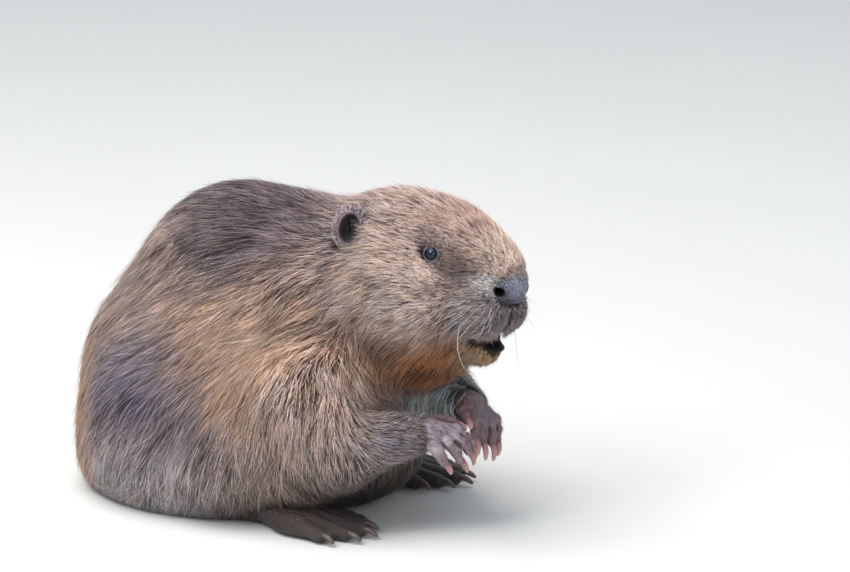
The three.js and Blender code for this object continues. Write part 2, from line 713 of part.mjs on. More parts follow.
// Stand the model on z = 0 with the middle of its footprint at the origin.
const bounds = new THREE.Box3().setFromObject(beaver);
const middle = bounds.getCenter(new THREE.Vector3());
beaver.children.forEach((mesh) => mesh.geometry.translate(-middle.x, -middle.y, -bounds.min.z));

export default beaver;
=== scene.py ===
import math

import bmesh
import bpy
import numpy as np
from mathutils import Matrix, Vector
from mathutils.kdtree import KDTree


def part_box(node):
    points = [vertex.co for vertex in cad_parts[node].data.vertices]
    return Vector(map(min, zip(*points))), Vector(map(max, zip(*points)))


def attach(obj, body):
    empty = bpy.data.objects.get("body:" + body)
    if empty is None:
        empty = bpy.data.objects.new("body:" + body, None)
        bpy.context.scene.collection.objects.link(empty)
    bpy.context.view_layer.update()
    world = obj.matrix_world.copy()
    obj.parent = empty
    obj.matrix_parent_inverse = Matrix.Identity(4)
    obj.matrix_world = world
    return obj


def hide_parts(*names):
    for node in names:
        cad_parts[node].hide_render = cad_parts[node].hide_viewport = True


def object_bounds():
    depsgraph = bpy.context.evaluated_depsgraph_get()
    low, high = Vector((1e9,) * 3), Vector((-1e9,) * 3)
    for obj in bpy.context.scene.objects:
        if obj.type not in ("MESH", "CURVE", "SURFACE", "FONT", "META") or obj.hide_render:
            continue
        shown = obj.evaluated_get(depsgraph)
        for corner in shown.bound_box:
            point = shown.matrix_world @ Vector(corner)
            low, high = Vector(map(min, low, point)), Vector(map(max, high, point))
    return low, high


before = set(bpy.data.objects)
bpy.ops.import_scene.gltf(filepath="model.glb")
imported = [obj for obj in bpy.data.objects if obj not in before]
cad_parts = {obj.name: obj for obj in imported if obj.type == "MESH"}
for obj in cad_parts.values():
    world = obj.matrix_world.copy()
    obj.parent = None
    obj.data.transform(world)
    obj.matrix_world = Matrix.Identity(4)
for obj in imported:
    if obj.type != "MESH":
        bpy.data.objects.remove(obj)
cad_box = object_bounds()

# The studio: a pale seamless floor under a large overhead softbox, with a weaker one in front
# and pale walls all round. The camera is a long lens on a high tripod, off the beaver's right
# shoulder. None of it is part of the model.
LENS = 221.65
SENSOR = 36.0
CAMERA_AWAY = 4.5
SEES_TO = 60
LOOK_AT = (0.0936, 0.0527, 0.1702)
LOOK_BACK = (0.4405, -0.8645, 0.2419)
FLOOR_HALF = 12.0
FLOOR_TONE = (0.66, 0.66, 0.645)
WALL_TONE = (0.86, 0.92, 1.0)
WALL_STRENGTH = 0.68
LAMPS_AIM_AT = Vector((0, 0, 0.12))
SOFTBOXES = {
    "softbox_overhead": dict(at=(-0.5, -0.5, 2.6), size=2.2, watts=80, tone=(1.0, 0.97, 0.93)),
    "softbox_window": dict(at=(-0.5, -1.9, 1.9), size=1.0, watts=23, tone=(0.95, 0.98, 1.0)),
    "softbox_front": dict(at=(1.9, -2.2, 1.2), size=1.6, watts=14, tone=(0.96, 0.98, 1.0)),
}

scene = bpy.context.scene
scene.view_settings.view_transform = "Standard"
camera_data = bpy.data.cameras.new("camera")
camera_data.lens = LENS
camera_data.sensor_width = SENSOR
camera_data.clip_end = SEES_TO
camera = bpy.data.objects.new("camera", camera_data)
scene.collection.objects.link(camera)
back = Vector(LOOK_BACK).normalized()
camera.location = Vector(LOOK_AT) + back * CAMERA_AWAY
camera.rotation_mode = "QUATERNION"
camera.rotation_quaternion = (-back).to_track_quat("-Z", "Y")
scene.camera = camera

for name, box in SOFTBOXES.items():
    lamp = bpy.data.lights.new(name, "AREA")
    lamp.shape = "SQUARE"
    lamp.size = box["size"]
    lamp.energy = box["watts"]
    lamp.color = box["tone"]
    softbox = bpy.data.objects.new(name, lamp)
    softbox.location = box["at"]
    aim = Vector(box["at"]) - LAMPS_AIM_AT
    softbox.rotation_euler = aim.to_track_quat("Z", "Y").to_euler()
    scene.collection.objects.link(softbox)

walls = bpy.data.worlds.new("walls")
walls.use_nodes = True
wall_light = walls.node_tree.nodes["Background"]
wall_light.inputs[0].default_value = (*WALL_TONE, 1)
wall_light.inputs[1].default_value = WALL_STRENGTH
scene.world = walls


def finish_of(name, roughness, specular=0.5, sheen=0.0, coat=0.0):
    """A new Principled material with its plain settings, and its tree and shader."""
    made = bpy.data.materials.new(name)
    made.use_nodes = True
    tree = made.node_tree
    shader = tree.nodes["Principled BSDF"]
    shader.inputs["Roughness"].default_value = roughness
    shader.inputs["Specular IOR Level"].default_value = specular
    shader.inputs["Sheen Weight"].default_value = sheen
    shader.inputs["Coat Weight"].default_value = coat
    return made, tree, shader


def grain(tree, scale, detail, source, warp=0.0):
    """Noise at so many grains a metre, read from the given coordinates."""
    noise = tree.nodes.new("ShaderNodeTexNoise")
    noise.inputs["Scale"].default_value = scale
    noise.inputs["Detail"].default_value = detail
    noise.inputs["Distortion"].default_value = warp
    tree.links.new(source, noise.inputs["Vector"])
    return noise.outputs["Fac"]


def span(tree, source, low, high):
    """The source's 0 to 1 stretched to low to high."""
    node = tree.nodes.new("ShaderNodeMapRange")
    node.inputs["To Min"].default_value = low
    node.inputs["To Max"].default_value = high
    tree.links.new(source, node.inputs["Value"])
    return node.outputs["Result"]


def times(tree, colour, factor):
    """A colour made lighter or darker by a factor."""
    node = tree.nodes.new("ShaderNodeVectorMath")
    node.operation = "SCALE"
    tree.links.new(colour, node.inputs[0])
    tree.links.new(factor, node.inputs["Scale"])
    return node.outputs["Vector"]


def raised(tree, shader, height, depth):
    """Relief of so many metres from a 0 to 1 height."""
    node = tree.nodes.new("ShaderNodeBump")
    node.inputs["Strength"].default_value = 1.0
    node.inputs["Distance"].default_value = depth
    tree.links.new(height, node.inputs["Height"])
    tree.links.new(node.outputs["Normal"], shader.inputs["Normal"])


def object_place(tree):
    return tree.nodes.new("ShaderNodeTexCoord").outputs["Object"]


def own_tone(tree):
    """The tone that the piece carries in its mesh."""
    node = tree.nodes.new("ShaderNodeAttribute")
    node.attribute_name = "tone"
    return node.outputs["Color"]


def one_tone(tree, colour):
    node = tree.nodes.new("ShaderNodeRGB")
    node.outputs[0].default_value = (*colour, 1)
    return node.outputs[0]


def mottled(tree, shader, colour, scale, detail, low, high):
    """The colour of the piece, darker and lighter by its grain."""
    change = span(tree, grain(tree, scale, detail, object_place(tree)), low, high)
    tree.links.new(times(tree, colour, change), shader.inputs["Base Color"])


floor_finish, tree, shader = finish_of("floor_paint", roughness=0.75, specular=0.2)
mottled(tree, shader, one_tone(tree, FLOOR_TONE), 3, 3, 0.97, 1.03)
raised(tree, shader, grain(tree, 240, 2, object_place(tree)), 0.0002)
floor_mesh = bpy.data.meshes.new("floor")
h = FLOOR_HALF
floor_mesh.from_pydata([(-h, -h, 0), (h, -h, 0), (h, h, 0), (-h, h, 0)], [], [(0, 1, 2, 3)])
floor_mesh.materials.append(floor_finish)
floor = bpy.data.objects.new("floor", floor_mesh)
scene.collection.objects.link(floor)

# The hide: one skin from nose to tail over the carved body, as deep under the tips of the
# coat as the hair is thick. It is drawn from rounded masses and limbs, softened where they
# meet, with the lids, nostrils, lips, fingers, webs and tail modelled on its bare places.
MM = 0.001


def unit(v):
    v = np.asarray(v, float)
    return v / np.linalg.norm(v)


def unit_rows(v):
    return v / (np.sqrt((v**2).sum(1)) + 1e-9)[:, None]


def turned(yaw, pitch, roll):
    """The forward, left and up of a part that is turned; degrees, nose down for pitch."""
    y, p, r = np.radians((yaw, pitch, roll))
    forward = np.array([np.cos(y) * np.cos(p), np.sin(y) * np.cos(p), -np.sin(p)])
    level = np.array([-np.sin(y), np.cos(y), 0])
    left = level * np.cos(r) + np.cross(forward, level) * np.sin(r)
    return np.array([forward, left, np.cross(forward, left)])


def ball(p, at, size, axes=None):
    """How far each place is outside an egg of those half sizes, turned to the axes."""
    q = p - np.asarray(at, np.float32)
    if axes is not None:
        q = q @ np.asarray(axes, np.float32).T
    size = np.asarray(size, np.float32) * np.ones(3, np.float32)
    near = np.sqrt(((q / size) ** 2).sum(1))
    slope = np.sqrt(((q / (size * size)) ** 2).sum(1)) + np.float32(1e-9)
    return near * (near - 1) / slope


def limb(p, start, end, thick, thin):
    """How far each place is outside a round-ended rod that tapers from start to end."""
    start, end = np.asarray(start, np.float32), np.asarray(end, np.float32)
    along = end - start
    t = np.clip(((p - start) @ along) / (along @ along), 0, 1)
    apart = p - start - t[:, None] * along
    return np.sqrt((apart**2).sum(1)) - (thick + (thin - thick) * t)


def soften(a, b, blend):
    """Two shapes run together, with a fillet where they meet."""
    h = np.maximum(blend - np.abs(a - b), 0) / blend
    return np.minimum(a, b) - h * h * blend * 0.25


def carve(a, b, blend):
    return -soften(-a, b, blend)


def join(blend, first, *rest):
    for shape in rest:
        first = soften(first, shape, blend)
    return first


SIDES = RIGHT, LEFT = (-1, 1)
NAMED_SIDES = ((LEFT, "left"), (RIGHT, "right"))
MIRROR = {side: np.array((1, side, 1)) for side in SIDES}
HEAD_AT = np.array([196.6, -15, 241.7])
HEAD = turned(-12, 12, -4)


def on_head(forward, left, up):
    return HEAD_AT + forward * HEAD[0] + left * HEAD[1] + up * HEAD[2]


def on_side(at, side):
    """The place on the head at the given place of its left side, or across from it."""
    return on_head(at[0], side * at[1], at[2])


def head_places(p):
    """Forward, left and up of the eyes, for places on the body."""
    return (p - HEAD_AT.astype(np.float32)) @ HEAD.T.astype(np.float32)


# the masses of the body and of the head: where, half sizes, depth of coat
TRUNK = [
    ((-60, 0, 20), (100, 94, 46), 11),
    ((-48, 0, 50), (116, 108, 76), 11),
    ((-42, 0, 104), (118, 102, 98), 11),
    ((-14, 0, 146), (104, 94, 124), 11),
    ((40, 0, 84), (88, 100, 84), 11),
    ((52, 0, 150), (88, 88, 114), 11),
    ((84, 0, 50), (62, 66, 46), 10),
    ((92, 0, 112), (62, 78, 84), 11),
    ((108, -5, 200), (62, 64, 62), 11),
    ((158, -8, 158), (46, 48, 44), 10),
]
SKULL = [
    ((-43, 0, -16), (59, 53, 46), 8),
    ((-4, 0, -18), (54, 40, 51), 4.5),
    ((28, 0, -20), (34, 30, 37), 2.2),
    ((-15, 34, -51), (50, 33, 38), 6.5),
    ((-15, -34, -51), (50, 33, 38), 6.5),
    ((43.5, 0, -2), (20.5, 17, 12.5), 2.2),
    ((45, 16, -42), (22, 18, 20), 1.6),
    ((45, -16, -42), (22, 18, 20), 1.6),
]
JAW = ((0, 0, -62), (46, 0, -74), 32, 15)
JAW_DEPTH = (6, 2.0)
ARMS = {
    RIGHT: ((85, -80, 122), (124, -86, 72), (184, -48, 88)),
    LEFT: ((88, 66, 138), (138, 58, 90), (193, 18, 95)),
}
UPPER_ARM = (43, 28)
UPPER_ARM_DEPTH = (10, 7)
FOREARM = (25, 14)
FOREARM_DEPTH = (6, 2.2)
THIGH = ((-15, 74, 76), (88, 46, 84), 11)
SHANK = ((20, 94, 56), (76, 84, 46), 34, 26)
SHANK_DEPTH = (10, 9)
BLEND = dict(trunk=30, thigh=30, elbow=20, skull=18, hip=40, shoulder=36, neck=30)


def furred(p):
    """How far each place is outside the skin, and outside the tips of the coat."""
    masses = [(ball(p, at, size), deep) for at, size, deep in TRUNK]
    skull = [(ball(p, on_head(*at), size, HEAD), deep) for at, size, deep in SKULL]
    jaw_ends = on_head(*JAW[0]), on_head(*JAW[1])
    thighs = {s: ball(p, THIGH[0] * MIRROR[s], THIGH[1]) for s in SIDES}
    both = []
    for inset in (1, 0):

        def tapered(start, end, radii, depths):
            return limb(p, start, end, *[r - deep * inset for r, deep in zip(radii, depths)])

        legs, arms = [], []
        for s in SIDES:
            shank = tapered(SHANK[0] * MIRROR[s], SHANK[1] * MIRROR[s], SHANK[2:], SHANK_DEPTH)
            legs.append(soften(thighs[s] + THIGH[2] * inset, shank, BLEND["thigh"]))
            shoulder, elbow, wrist = ARMS[s]
            upper = tapered(shoulder, elbow, UPPER_ARM, UPPER_ARM_DEPTH)
            lower = tapered(elbow, wrist, FOREARM, FOREARM_DEPTH)
            arms.append(soften(upper, lower, BLEND["elbow"]))
        trunk = join(BLEND["trunk"], *[d + deep * inset for d, deep in masses])
        jaw = tapered(*jaw_ends, JAW[2:], JAW_DEPTH)
        head = join(BLEND["skull"], *[d + deep * inset for d, deep in skull], jaw)
        body = join(BLEND["shoulder"], join(BLEND["hip"], trunk, *legs), *arms)
        both.append(soften(body, head, BLEND["neck"]))
    return both


NOSTRIL = ((62, 17.5, -16.5), (8.0, 4.5, 3.7))
NOSTRIL_FACES = (0.6, 0.78, -0.12)
NOSE_PARTS = [
    ((57, 0, -9.5), (15.5, 15, 13.5)),
    ((61, 0, -21), (12, 12, 8)),
    ((58.5, 13.5, -16.5), (9, 7.2, 8)),
    ((58.5, -13.5, -16.5), (9, 7.2, 8)),
]
EYE_AT = (1.8, 36.5, -3.2)
EYE_RADIUS = 6.2
EYE_LOOKS = (0.24, 0.92, 0.30)
LID_REACH = 7.6
LID_OPENING = np.array((9, 6.2, 5.8))
EAR_AT = (-76, 51, -6)
EAR_SIZE = np.array((9, 13, 19))
EAR_FACES = (0.55, 0.83, 0.08)
EAR_HOLLOW = np.array((8, 8.2, 12.8))
MOUTH_AT = -60
MOUTH_FROM = 46
CLEFT = ((66, 0, -27), (60, 1, -58))
NOSE_SLIT = ((66, 20, -13), (56, 25, -7), 1.6, 0.5)
LIP_FOLD = ((70, 7, -46), (60, 15, -57), 0.9, 1.6)
LOWER_LIP = ((55, 0, -70), (10, 12, 4))
BEHIND_LIP = ((53, 0, -67), (7, 8, 6))


LID_AHEAD = 9.5
MOUTH_HALF = 26
LIP_HALF = 24
FOOT_COVER = (58, 50, 18)


def outward(direction, side, upward=HEAD[2]):
    """A forward, across and up for something on one side of the head that looks outward."""
    out = unit(direction[0] * HEAD[0] + side * direction[1] * HEAD[1] + direction[2] * HEAD[2])
    up = unit(upward - (upward @ out) * out)
    return np.array([out, np.cross(up, out), up])


def nose_pad(p):
    return join(6, *[ball(p, on_head(*at), size, HEAD) for at, size in NOSE_PARTS])


def lip_cleft(p, top, foot):
    return limb(p, on_head(*CLEFT[0]), on_head(*CLEFT[1]), top, foot)


def eye_and_lids(side):
    at = on_side(EYE_AT, side)
    axes = outward(EYE_LOOKS, side)

    def shaped(p, d):
        # the lids, their fold in the front corner, the ridge over them, and the slit between
        d = soften(d, ball(p, at, LID_REACH), 4)
        front = HEAD[0] * 7.4 - HEAD[2] * 1.0
        d = soften(d, limb(p, at + axes[0] * 3.2, at + axes[0] * 1.4 + front, 2.6, 1.2), 3)
        d = soften(d, ball(p, at + axes[2] * 6.8 + axes[0] * 1.2, (3.0, 7, 1.8), axes), 3)
        d = carve(d, ball(p, at + axes[0] * LID_AHEAD, LID_OPENING, axes), 0.8)
        return carve(d, limb(p, at + axes[0] * 6, at + axes[0] * 5 + front * 0.75, 1.6, 0.6), 1.0)

    return at, 24, shaped


def muzzle(p, d):
    q = head_places(p)
    # the nose pad and its nostrils, the slits behind them, the folds and the cleft of the lip
    d = soften(d, nose_pad(p), 2.5)
    for s in SIDES:
        at, size = NOSTRIL
        d = carve(d, ball(p, on_side(at, s), size, outward(NOSTRIL_FACES, s)), 1.2)
    for s in SIDES:
        for (start, end, thick, thin), blend in ((NOSE_SLIT, 2), (LIP_FOLD, 3)):
            d = carve(d, limb(p, on_side(start, s), on_side(end, s), thick, thin), blend)
    d = carve(d, lip_cleft(p, 1.8, 3.4), 3)
    lip = ball(p, on_head(*LOWER_LIP[0]), LOWER_LIP[1], HEAD)
    behind_lip = ball(p, on_head(*BEHIND_LIP[0]), BEHIND_LIP[1], HEAD)
    d = soften(d, np.maximum(lip, -behind_lip), 3)
    # the lips part from the cheek forward, and the slot between them is widest at the front
    wide = np.clip((q[:, 0] - MOUTH_FROM) / 16, 0, 1)
    rise = MOUTH_AT - 2.5 * wide + 1.5 * np.clip((54 - q[:, 0]) / 10, 0, 1)
    behind = np.where(q[:, 0] < MOUTH_FROM, (MOUTH_FROM - q[:, 0]) * 0.8, 0)
    slot = np.abs(q[:, 2] - rise) - 4.4 * wide**0.7 + behind
    inside = 12 - np.sqrt((q[:, 0] - 34) ** 2 * 0.5 + q[:, 1] ** 2)
    slot = np.maximum(slot, inside)
    return carve(d, slot, 2)


def ear(side):
    at = on_side(EAR_AT, side)
    axes = outward(EAR_FACES, side)

    def shaped(p, d):
        # an upright cup, hollowed on its outward side, with the fold of skin at its front edge
        cup = ball(p, at, EAR_SIZE, axes)
        cup = carve(cup, ball(p, at + axes[0] * 7, EAR_HOLLOW, axes), 2)
        cup = soften(cup, limb(p, at + axes[2] * 7 - axes[1] * 5, at - axes[2] * 6, 2.2, 1.4), 2)
        return soften(d, cup, 3)

    return at, 45, shaped


# turn of the hand, which way the thumb lies, and for each finger from the thumb: across,
# along the palm, its two bones, its claw, how far it fans out, and its three bends
HANDS = {
    RIGHT: dict(
        turn=(6, 15, 31),
        thumb=1,
        fingers=[
            (15, 4, 8, 6, 12, 19, 1, 20, 36),
            (11, 21, 12, 9.5, 15, 4, 30, 64, 78),
            (4, 22, 10.5, 9.5, 16, 2, 21, 61, 73),
            (-4, 20, 12, 8.5, 14, -3, 40, 65, 57),
            (-16, 17, 8, 5, 12, -9, 53, 60, 53),
        ],
    ),
    LEFT: dict(
        turn=(-22, 35, -8),
        thumb=-1,
        fingers=[
            (14, 4, 6, 4.5, 11, 16, 2, 2, 8),
            (10, 18, 7, 6, 16, 2, 50, 49, 38),
            (4, 21, 9, 6.5, 16, -2, 48, 50, 40),
            (-5, 21, 10, 7, 16, -6, 40, 55, 46),
            (-12, 19, 8, 8, 15, -10, 36, 53, 51),
        ],
    ),
}


def fingers(side):
    """The joints of each finger, from knuckle to the tip of its claw, and its top side."""
    hand = HANDS[side]
    forward, left, up = turned(*hand["turn"])
    inward = left * hand["thumb"]
    wrist = np.array(ARMS[side][2], float)
    for across, palm, bone, end, claw, fan, *bends in hand["fingers"]:
        fan = math.radians(fan)
        lie = forward * math.cos(fan) + inward * math.sin(fan)
        points = [wrist + forward * palm + inward * across]
        for length, bend in zip((bone, end, claw), np.radians(bends)):
            points.append(points[-1] + length * (lie * math.cos(bend) - up * math.sin(bend)))
        yield points, up


def hand(side):
    wrist = np.array(ARMS[side][2], float)
    joints = list(fingers(side))

    def shaped(p, d):
        # for each finger its bones, then its knobs, then the groove between it and the last
        for i, ((knuckle, middle, tip, _), up) in enumerate(joints):
            slim = 0.8 if i == 0 else 1.0
            for start, end, thick, thin in (
                (wrist, knuckle, 10.4, 5.4),
                (knuckle, middle, 4.9, 4.1),
                (middle, tip, 4.1, 3.6),
            ):
                d = soften(d, limb(p, start, end, thick * slim, thin * slim), 1.6)
            for knob, radius in ((knuckle, 5.1), (middle, 4.3)):
                d = soften(d, ball(p, knob + up * 0.9, radius * slim), 2)
            if i > 1:
                knuckle_gap = (knuckle + joints[i - 1][0][0]) / 2 + up * 4.6
                middle_gap = (middle + joints[i - 1][0][1]) / 2 + up * 3.6
                d = carve(d, limb(p, wrist * 0.2 + knuckle_gap * 0.8, middle_gap, 0.5, 1.2), 2)
        return d

    return wrist + 14 * HEAD[0], 70, shaped


HEEL = (-10, 84, 15)
INSTEP = (60, 84, 14)
TOES = ((118, -26), (134, -14), (142, 2), (136, 18), (120, 32))
WEB = ((98, 88, 5), (40, 30, 5))


def foot(side):
    mirrored = MIRROR[side]

    def shaped(p, d):
        # the sole from heel to instep, five toes each in two lengths, and the web between them
        sole = limb(p, HEEL * mirrored, INSTEP * mirrored, 15, 14)
        for x, across in TOES:
            start = np.array((58, 84 + across * 0.35, 12)) * mirrored
            end = np.array((x, 86 + across, 7)) * mirrored
            middle = start * 0.45 + end * 0.55 + (0, 0, 2.5)
            sole = soften(sole, limb(p, start, middle, 8.4, 6.4), 4)
            sole = soften(sole, limb(p, middle, end, 6.8, 6.0), 3)
        sole = soften(sole, ball(p, WEB[0] * mirrored, WEB[1]), 4)
        return soften(d, sole, 6)

    return np.array((66, 86, 12)) * mirrored, 110, shaped


TAIL_AT = np.array([-112, 16, 22.0])
TAIL_ALONG = np.array([-0.47, 0.883, 0])
TAIL_ACROSS = np.array([-0.883, -0.47, 0])
TAIL_AXES = np.array([TAIL_ALONG, TAIL_ACROSS, (0, 0, 1)])
PADDLE = ((100, (72, 42, 9)), (140, (80, 47, 9)), (185, (56, 42, 8)))


def paddle(p):
    floor_line = TAIL_AT * (1, 1, 0) + (0, 0, 9)
    return join(
        8, *[ball(p, floor_line + TAIL_ALONG * along, size, TAIL_AXES) for along, size in PADDLE]
    )


def tail(p, d):
    root = limb(p, TAIL_AT, TAIL_AT + TAIL_ALONG * 60 - (0, 0, 10), 24, 14)
    return soften(d, soften(paddle(p), root, 14), 10)


FEATURES = [
    (on_head(55, 0, -35), 48, muzzle),
    *[made(s) for made in (eye_and_lids, ear, hand, foot) for s in SIDES],
    (TAIL_AT + TAIL_ALONG * 110, 175, tail),
]


def within(p, at, reach):
    return ((p - at) ** 2).sum(1) < reach * reach


def hide(p):
    """How far each place is outside the finished skin."""
    d = furred(p)[0]
    for at, reach, shaped in FEATURES:
        near = np.flatnonzero(within(p, at.astype(np.float32), reach))
        if len(near):
            d[near] = shaped(p[near], d[near])
    return carve(d, p[:, 2], 1)


def steepest(shape, p, step=0.4):
    """Outward direction of a shape at each place."""
    ways = np.array([(1, 1, 1), (1, -1, -1), (-1, 1, -1), (-1, -1, 1)], np.float32)
    return unit_rows(sum(way * shape(p + way * step)[:, None] for way in ways))


MOST_MOVED = 1.5


def settled(shape, p, times_over=2):
    """Places moved on to the surface of a shape."""
    for _ in range(times_over):
        way = steepest(shape, p)
        p = p - way * np.clip(shape(p), -MOST_MOVED, MOST_MOVED)[:, None]
    return p


AT_ONCE = 200000


def skinned(shape, low, high, step, coarse=4):
    """A closed mesh of a shape in a box: a point in each cell that its surface crosses."""
    low = np.asarray(low, float)
    count = np.ceil((np.asarray(high, float) - low) / (step * coarse)).astype(int) * coarse + 1
    rough = (count - 1) // coarse + 1
    places = np.stack(np.meshgrid(*[np.arange(n) for n in rough], indexing="ij"), -1)
    first = shape((low + places.reshape(-1, 3) * step * coarse).astype(np.float32)).reshape(rough)
    spread = first
    for axis in range(3):
        spread = np.repeat(spread, coarse, axis)
    level = spread[: count[0], : count[1], : count[2]].copy()
    close = np.zeros(count, bool)
    blocks = np.argwhere(np.abs(first) < step * coarse * 1.9) * coarse
    reach = range(-coarse // 2, coarse // 2 + 1)
    for shift in np.stack(np.meshgrid(reach, reach, reach, indexing="ij"), -1).reshape(-1, 3):
        q = blocks + shift
        q = q[((q >= 0) & (q < count)).all(1)]
        close[q[:, 0], q[:, 1], q[:, 2]] = True
    index = np.argwhere(close)
    parts = np.array_split(index, max(1, len(index) // AT_ONCE))
    level[close] = np.concatenate([shape((low + q * step).astype(np.float32)) for q in parts])

    filled = level < 0
    corners = [(i, j, k) for i in (0, 1) for j in (0, 1) for k in (0, 1)]
    cells = tuple(n - 1 for n in level.shape)
    full = np.zeros(cells, np.int8)
    for i, j, k in corners:
        full += filled[i : cells[0] + i, j : cells[1] + j, k : cells[2] + k]
    crossed = np.argwhere((full > 0) & (full < 8))
    number = -np.ones(cells, np.int64)
    number[tuple(crossed.T)] = np.arange(len(crossed))
    value = {c: level[tuple((crossed + c).T)] for c in corners}
    total, hits = np.zeros((len(crossed), 3)), np.zeros(len(crossed))
    for c in corners:
        for axis in range(3):
            if c[axis]:
                continue
            beyond = tuple(v + (n == axis) for n, v in enumerate(c))
            cross = (value[c] < 0) != (value[beyond] < 0)
            share = np.where(cross, value[c] / np.where(cross, value[c] - value[beyond], 1), 0)
            point = np.tile(np.array(c, float), (len(crossed), 1))
            point[:, axis] = share
            total += point * cross[:, None]
            hits += cross
    points = low + (crossed + total / hits[:, None]) * step

    # a quad across each grid edge that passes through the surface, joining the four cells round it
    faces = []
    for axis in range(3):
        edge = np.argwhere(np.diff(filled, axis=axis))
        back = np.zeros((4, 3), int)
        back[:, (axis + 1) % 3], back[:, (axis + 2) % 3] = (1, 0, 0, 1), (1, 1, 0, 0)
        quad = number[tuple((edge[:, None] - back).transpose(2, 0, 1))]
        leaving = filled[tuple(edge.T)]
        quad[~leaving] = quad[~leaving][:, ::-1]
        faces.append(quad)
    return points, np.concatenate(faces)


def box_middle(node):
    low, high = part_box(node)
    return (np.array(low) + np.array(high)) / 2


# the carved body's own middle, from where its eyes are in the frame
between_eyes = on_head(EYE_AT[0], 0, EYE_AT[2])
SHIFT = (box_middle("eye_left") + box_middle("eye_right")) / 2 / MM - between_eyes
SHIFT[2] = 0

SKIN_STEP = 1.6
SKIN_MARGIN = 6
SKIN_LOW = np.array(cad_box[0]) / MM - SHIFT - SKIN_MARGIN
SKIN_HIGH = np.array(cad_box[1]) / MM - SHIFT + SKIN_MARGIN
KEPT_SHARE = 0.22
SEAM_ANGLE = math.radians(66)
SEAM_GAP = 0.002


def in_frame(points):
    return (points + SHIFT) * MM


def paint(mesh, tones):
    """A tone for each place of the mesh, carried in the mesh itself."""
    painted = mesh.color_attributes.new("tone", "FLOAT_COLOR", "POINT")
    painted.data.foreach_set("color", np.c_[tones, np.ones(len(tones))].astype(np.float32).ravel())


def meshed(name, points, faces):
    """A mesh from arrays of places on the body and of faces with equal corners."""
    mesh = bpy.data.meshes.new(name)
    corners = faces.shape[1]
    mesh.vertices.add(len(points))
    mesh.vertices.foreach_set("co", in_frame(points).astype(np.float32).ravel())
    mesh.loops.add(faces.size)
    mesh.loops.foreach_set("vertex_index", faces.astype(np.int32).ravel())
    mesh.polygons.add(len(faces))
    mesh.polygons.foreach_set("loop_start", np.arange(0, faces.size, corners, dtype=np.int32))
    mesh.polygons.foreach_set("use_smooth", np.full(len(faces), True))
    mesh.update(calc_edges=True)
    return mesh


def placed(name, mesh):
    piece = bpy.data.objects.new(name, mesh)
    scene.collection.objects.link(piece)
    return piece


def read(mesh):
    """A mesh's places on the body and its triangles' corners."""
    points = np.empty(len(mesh.vertices) * 3, np.float32)
    mesh.vertices.foreach_get("co", points)
    mesh.calc_loop_triangles()
    triangles = np.empty(len(mesh.loop_triangles) * 3, np.int32)
    mesh.loop_triangles.foreach_get("vertices", triangles)
    return points.reshape(-1, 3) / MM - SHIFT, triangles.reshape(-1, 3)


def bareness(p):
    """1 where the skin is shaped into nose, lids, lips, ears, hands, feet or tail, else 0."""
    bare = np.zeros(len(p), np.float32)
    away = furred(p)[0]
    for at, reach, shaped in FEATURES:
        near = np.flatnonzero(within(p, at.astype(np.float32), reach))
        change = np.abs(shaped(p[near], away[near].copy()) - away[near])
        bare[near] = np.maximum(bare[near], np.clip((change - 0.5) / 1.5, 0, 1))
    return bare


def ripple(p, size, seed):
    """A smooth random swell from -1 to 1, about so many millimetres from crest to crest."""
    draw = np.random.default_rng(seed)
    ways = draw.normal(size=(7, 3))
    ways /= np.linalg.norm(ways, axis=1)[:, None]
    rate = 2 * math.pi / size * draw.uniform(0.6, 1.5, 7)
    waves = np.sin(p @ (ways * rate[:, None]).T + draw.uniform(0, 6.3, 7))
    return waves.sum(1) / 3.2


def tone(red, green, blue):
    """A colour as a painter's chart gives it, 0 to 255, as light."""
    c = np.array((red, green, blue)) / 255
    return np.where(c < 0.04045, c / 12.92, ((c + 0.055) / 1.055) ** 2.4)


# The markings, the same on both sides: where on the body, how far they reach, then the tone
# deep in the coat and the tone of its tips. The belly and knee entries are not markings:
# they are painted shade under the arm.
BODY_MARKS_AND_SHADE = dict(
    saddle=((30, 40, 236), (68, 62, 40), (40, 31, 38), (99, 85, 94), 2.6),
    shoulder=((78, 60, 200), (42, 40, 40), (104, 80, 70), (216, 184, 168), 1.5),
    upper_flank=((-78, 54, 190), (66, 52, 46), (124, 100, 92), (232, 204, 192), 2.6),
    flank=((46, 95, 166), (54, 50, 42), (160, 122, 100), (250, 212, 184), 3.2),
    front_flank=((95, 90, 110), (40, 40, 50), (120, 100, 92), (244, 218, 206), 1.5),
    haunch=((-28, 108, 130), (58, 60, 42), (55, 47, 58), (132, 121, 137), 3.0),
    low_haunch=((-40, 125, 36), (75, 60, 36), (102, 93, 95), (212, 203, 206), 2.0),
    low_flank=((60, 100, 45), (45, 50, 40), (76, 60, 52), (150, 130, 120), 1.6),
    rump=((-160, 20, 80), (44, 90, 110), (122, 88, 64), (236, 192, 156), 3.0),
    neck=((140, 60, 215), (36, 42, 32), (124, 100, 88), (224, 200, 186), 1.2),
    throat=((180, 35, 155), (38, 36, 26), (78, 36, 6), (172, 99, 34), 3.4),
    chest=((163, 24, 108), (20, 22, 18), (102, 108, 108), (200, 210, 212), 4.0),
    forearm=((158, 72, 80), (34, 30, 20), (70, 58, 57), (166, 153, 159), 1.9),
    wrist=((188, 46, 90), (16, 24, 16), (46, 34, 30), (92, 74, 66), 2.5),
    # painted shade: the belly and the knee lie in shade under the arm, and are painted dark for it
    belly=((110, 50, 30), (60, 70, 34), (36, 30, 26), (84, 74, 66), 3.0),
    knee=((126, 62, 26), (36, 38, 26), (28, 23, 20), (66, 58, 51), 5.5),
    hand=((208, 34, 80), (18, 30, 18), (48, 38, 38), (118, 102, 106), 3.0),
    tail_root=((-125, 0, 20), (40, 60, 24), (60, 46, 40), (130, 106, 90), 1.0),
)
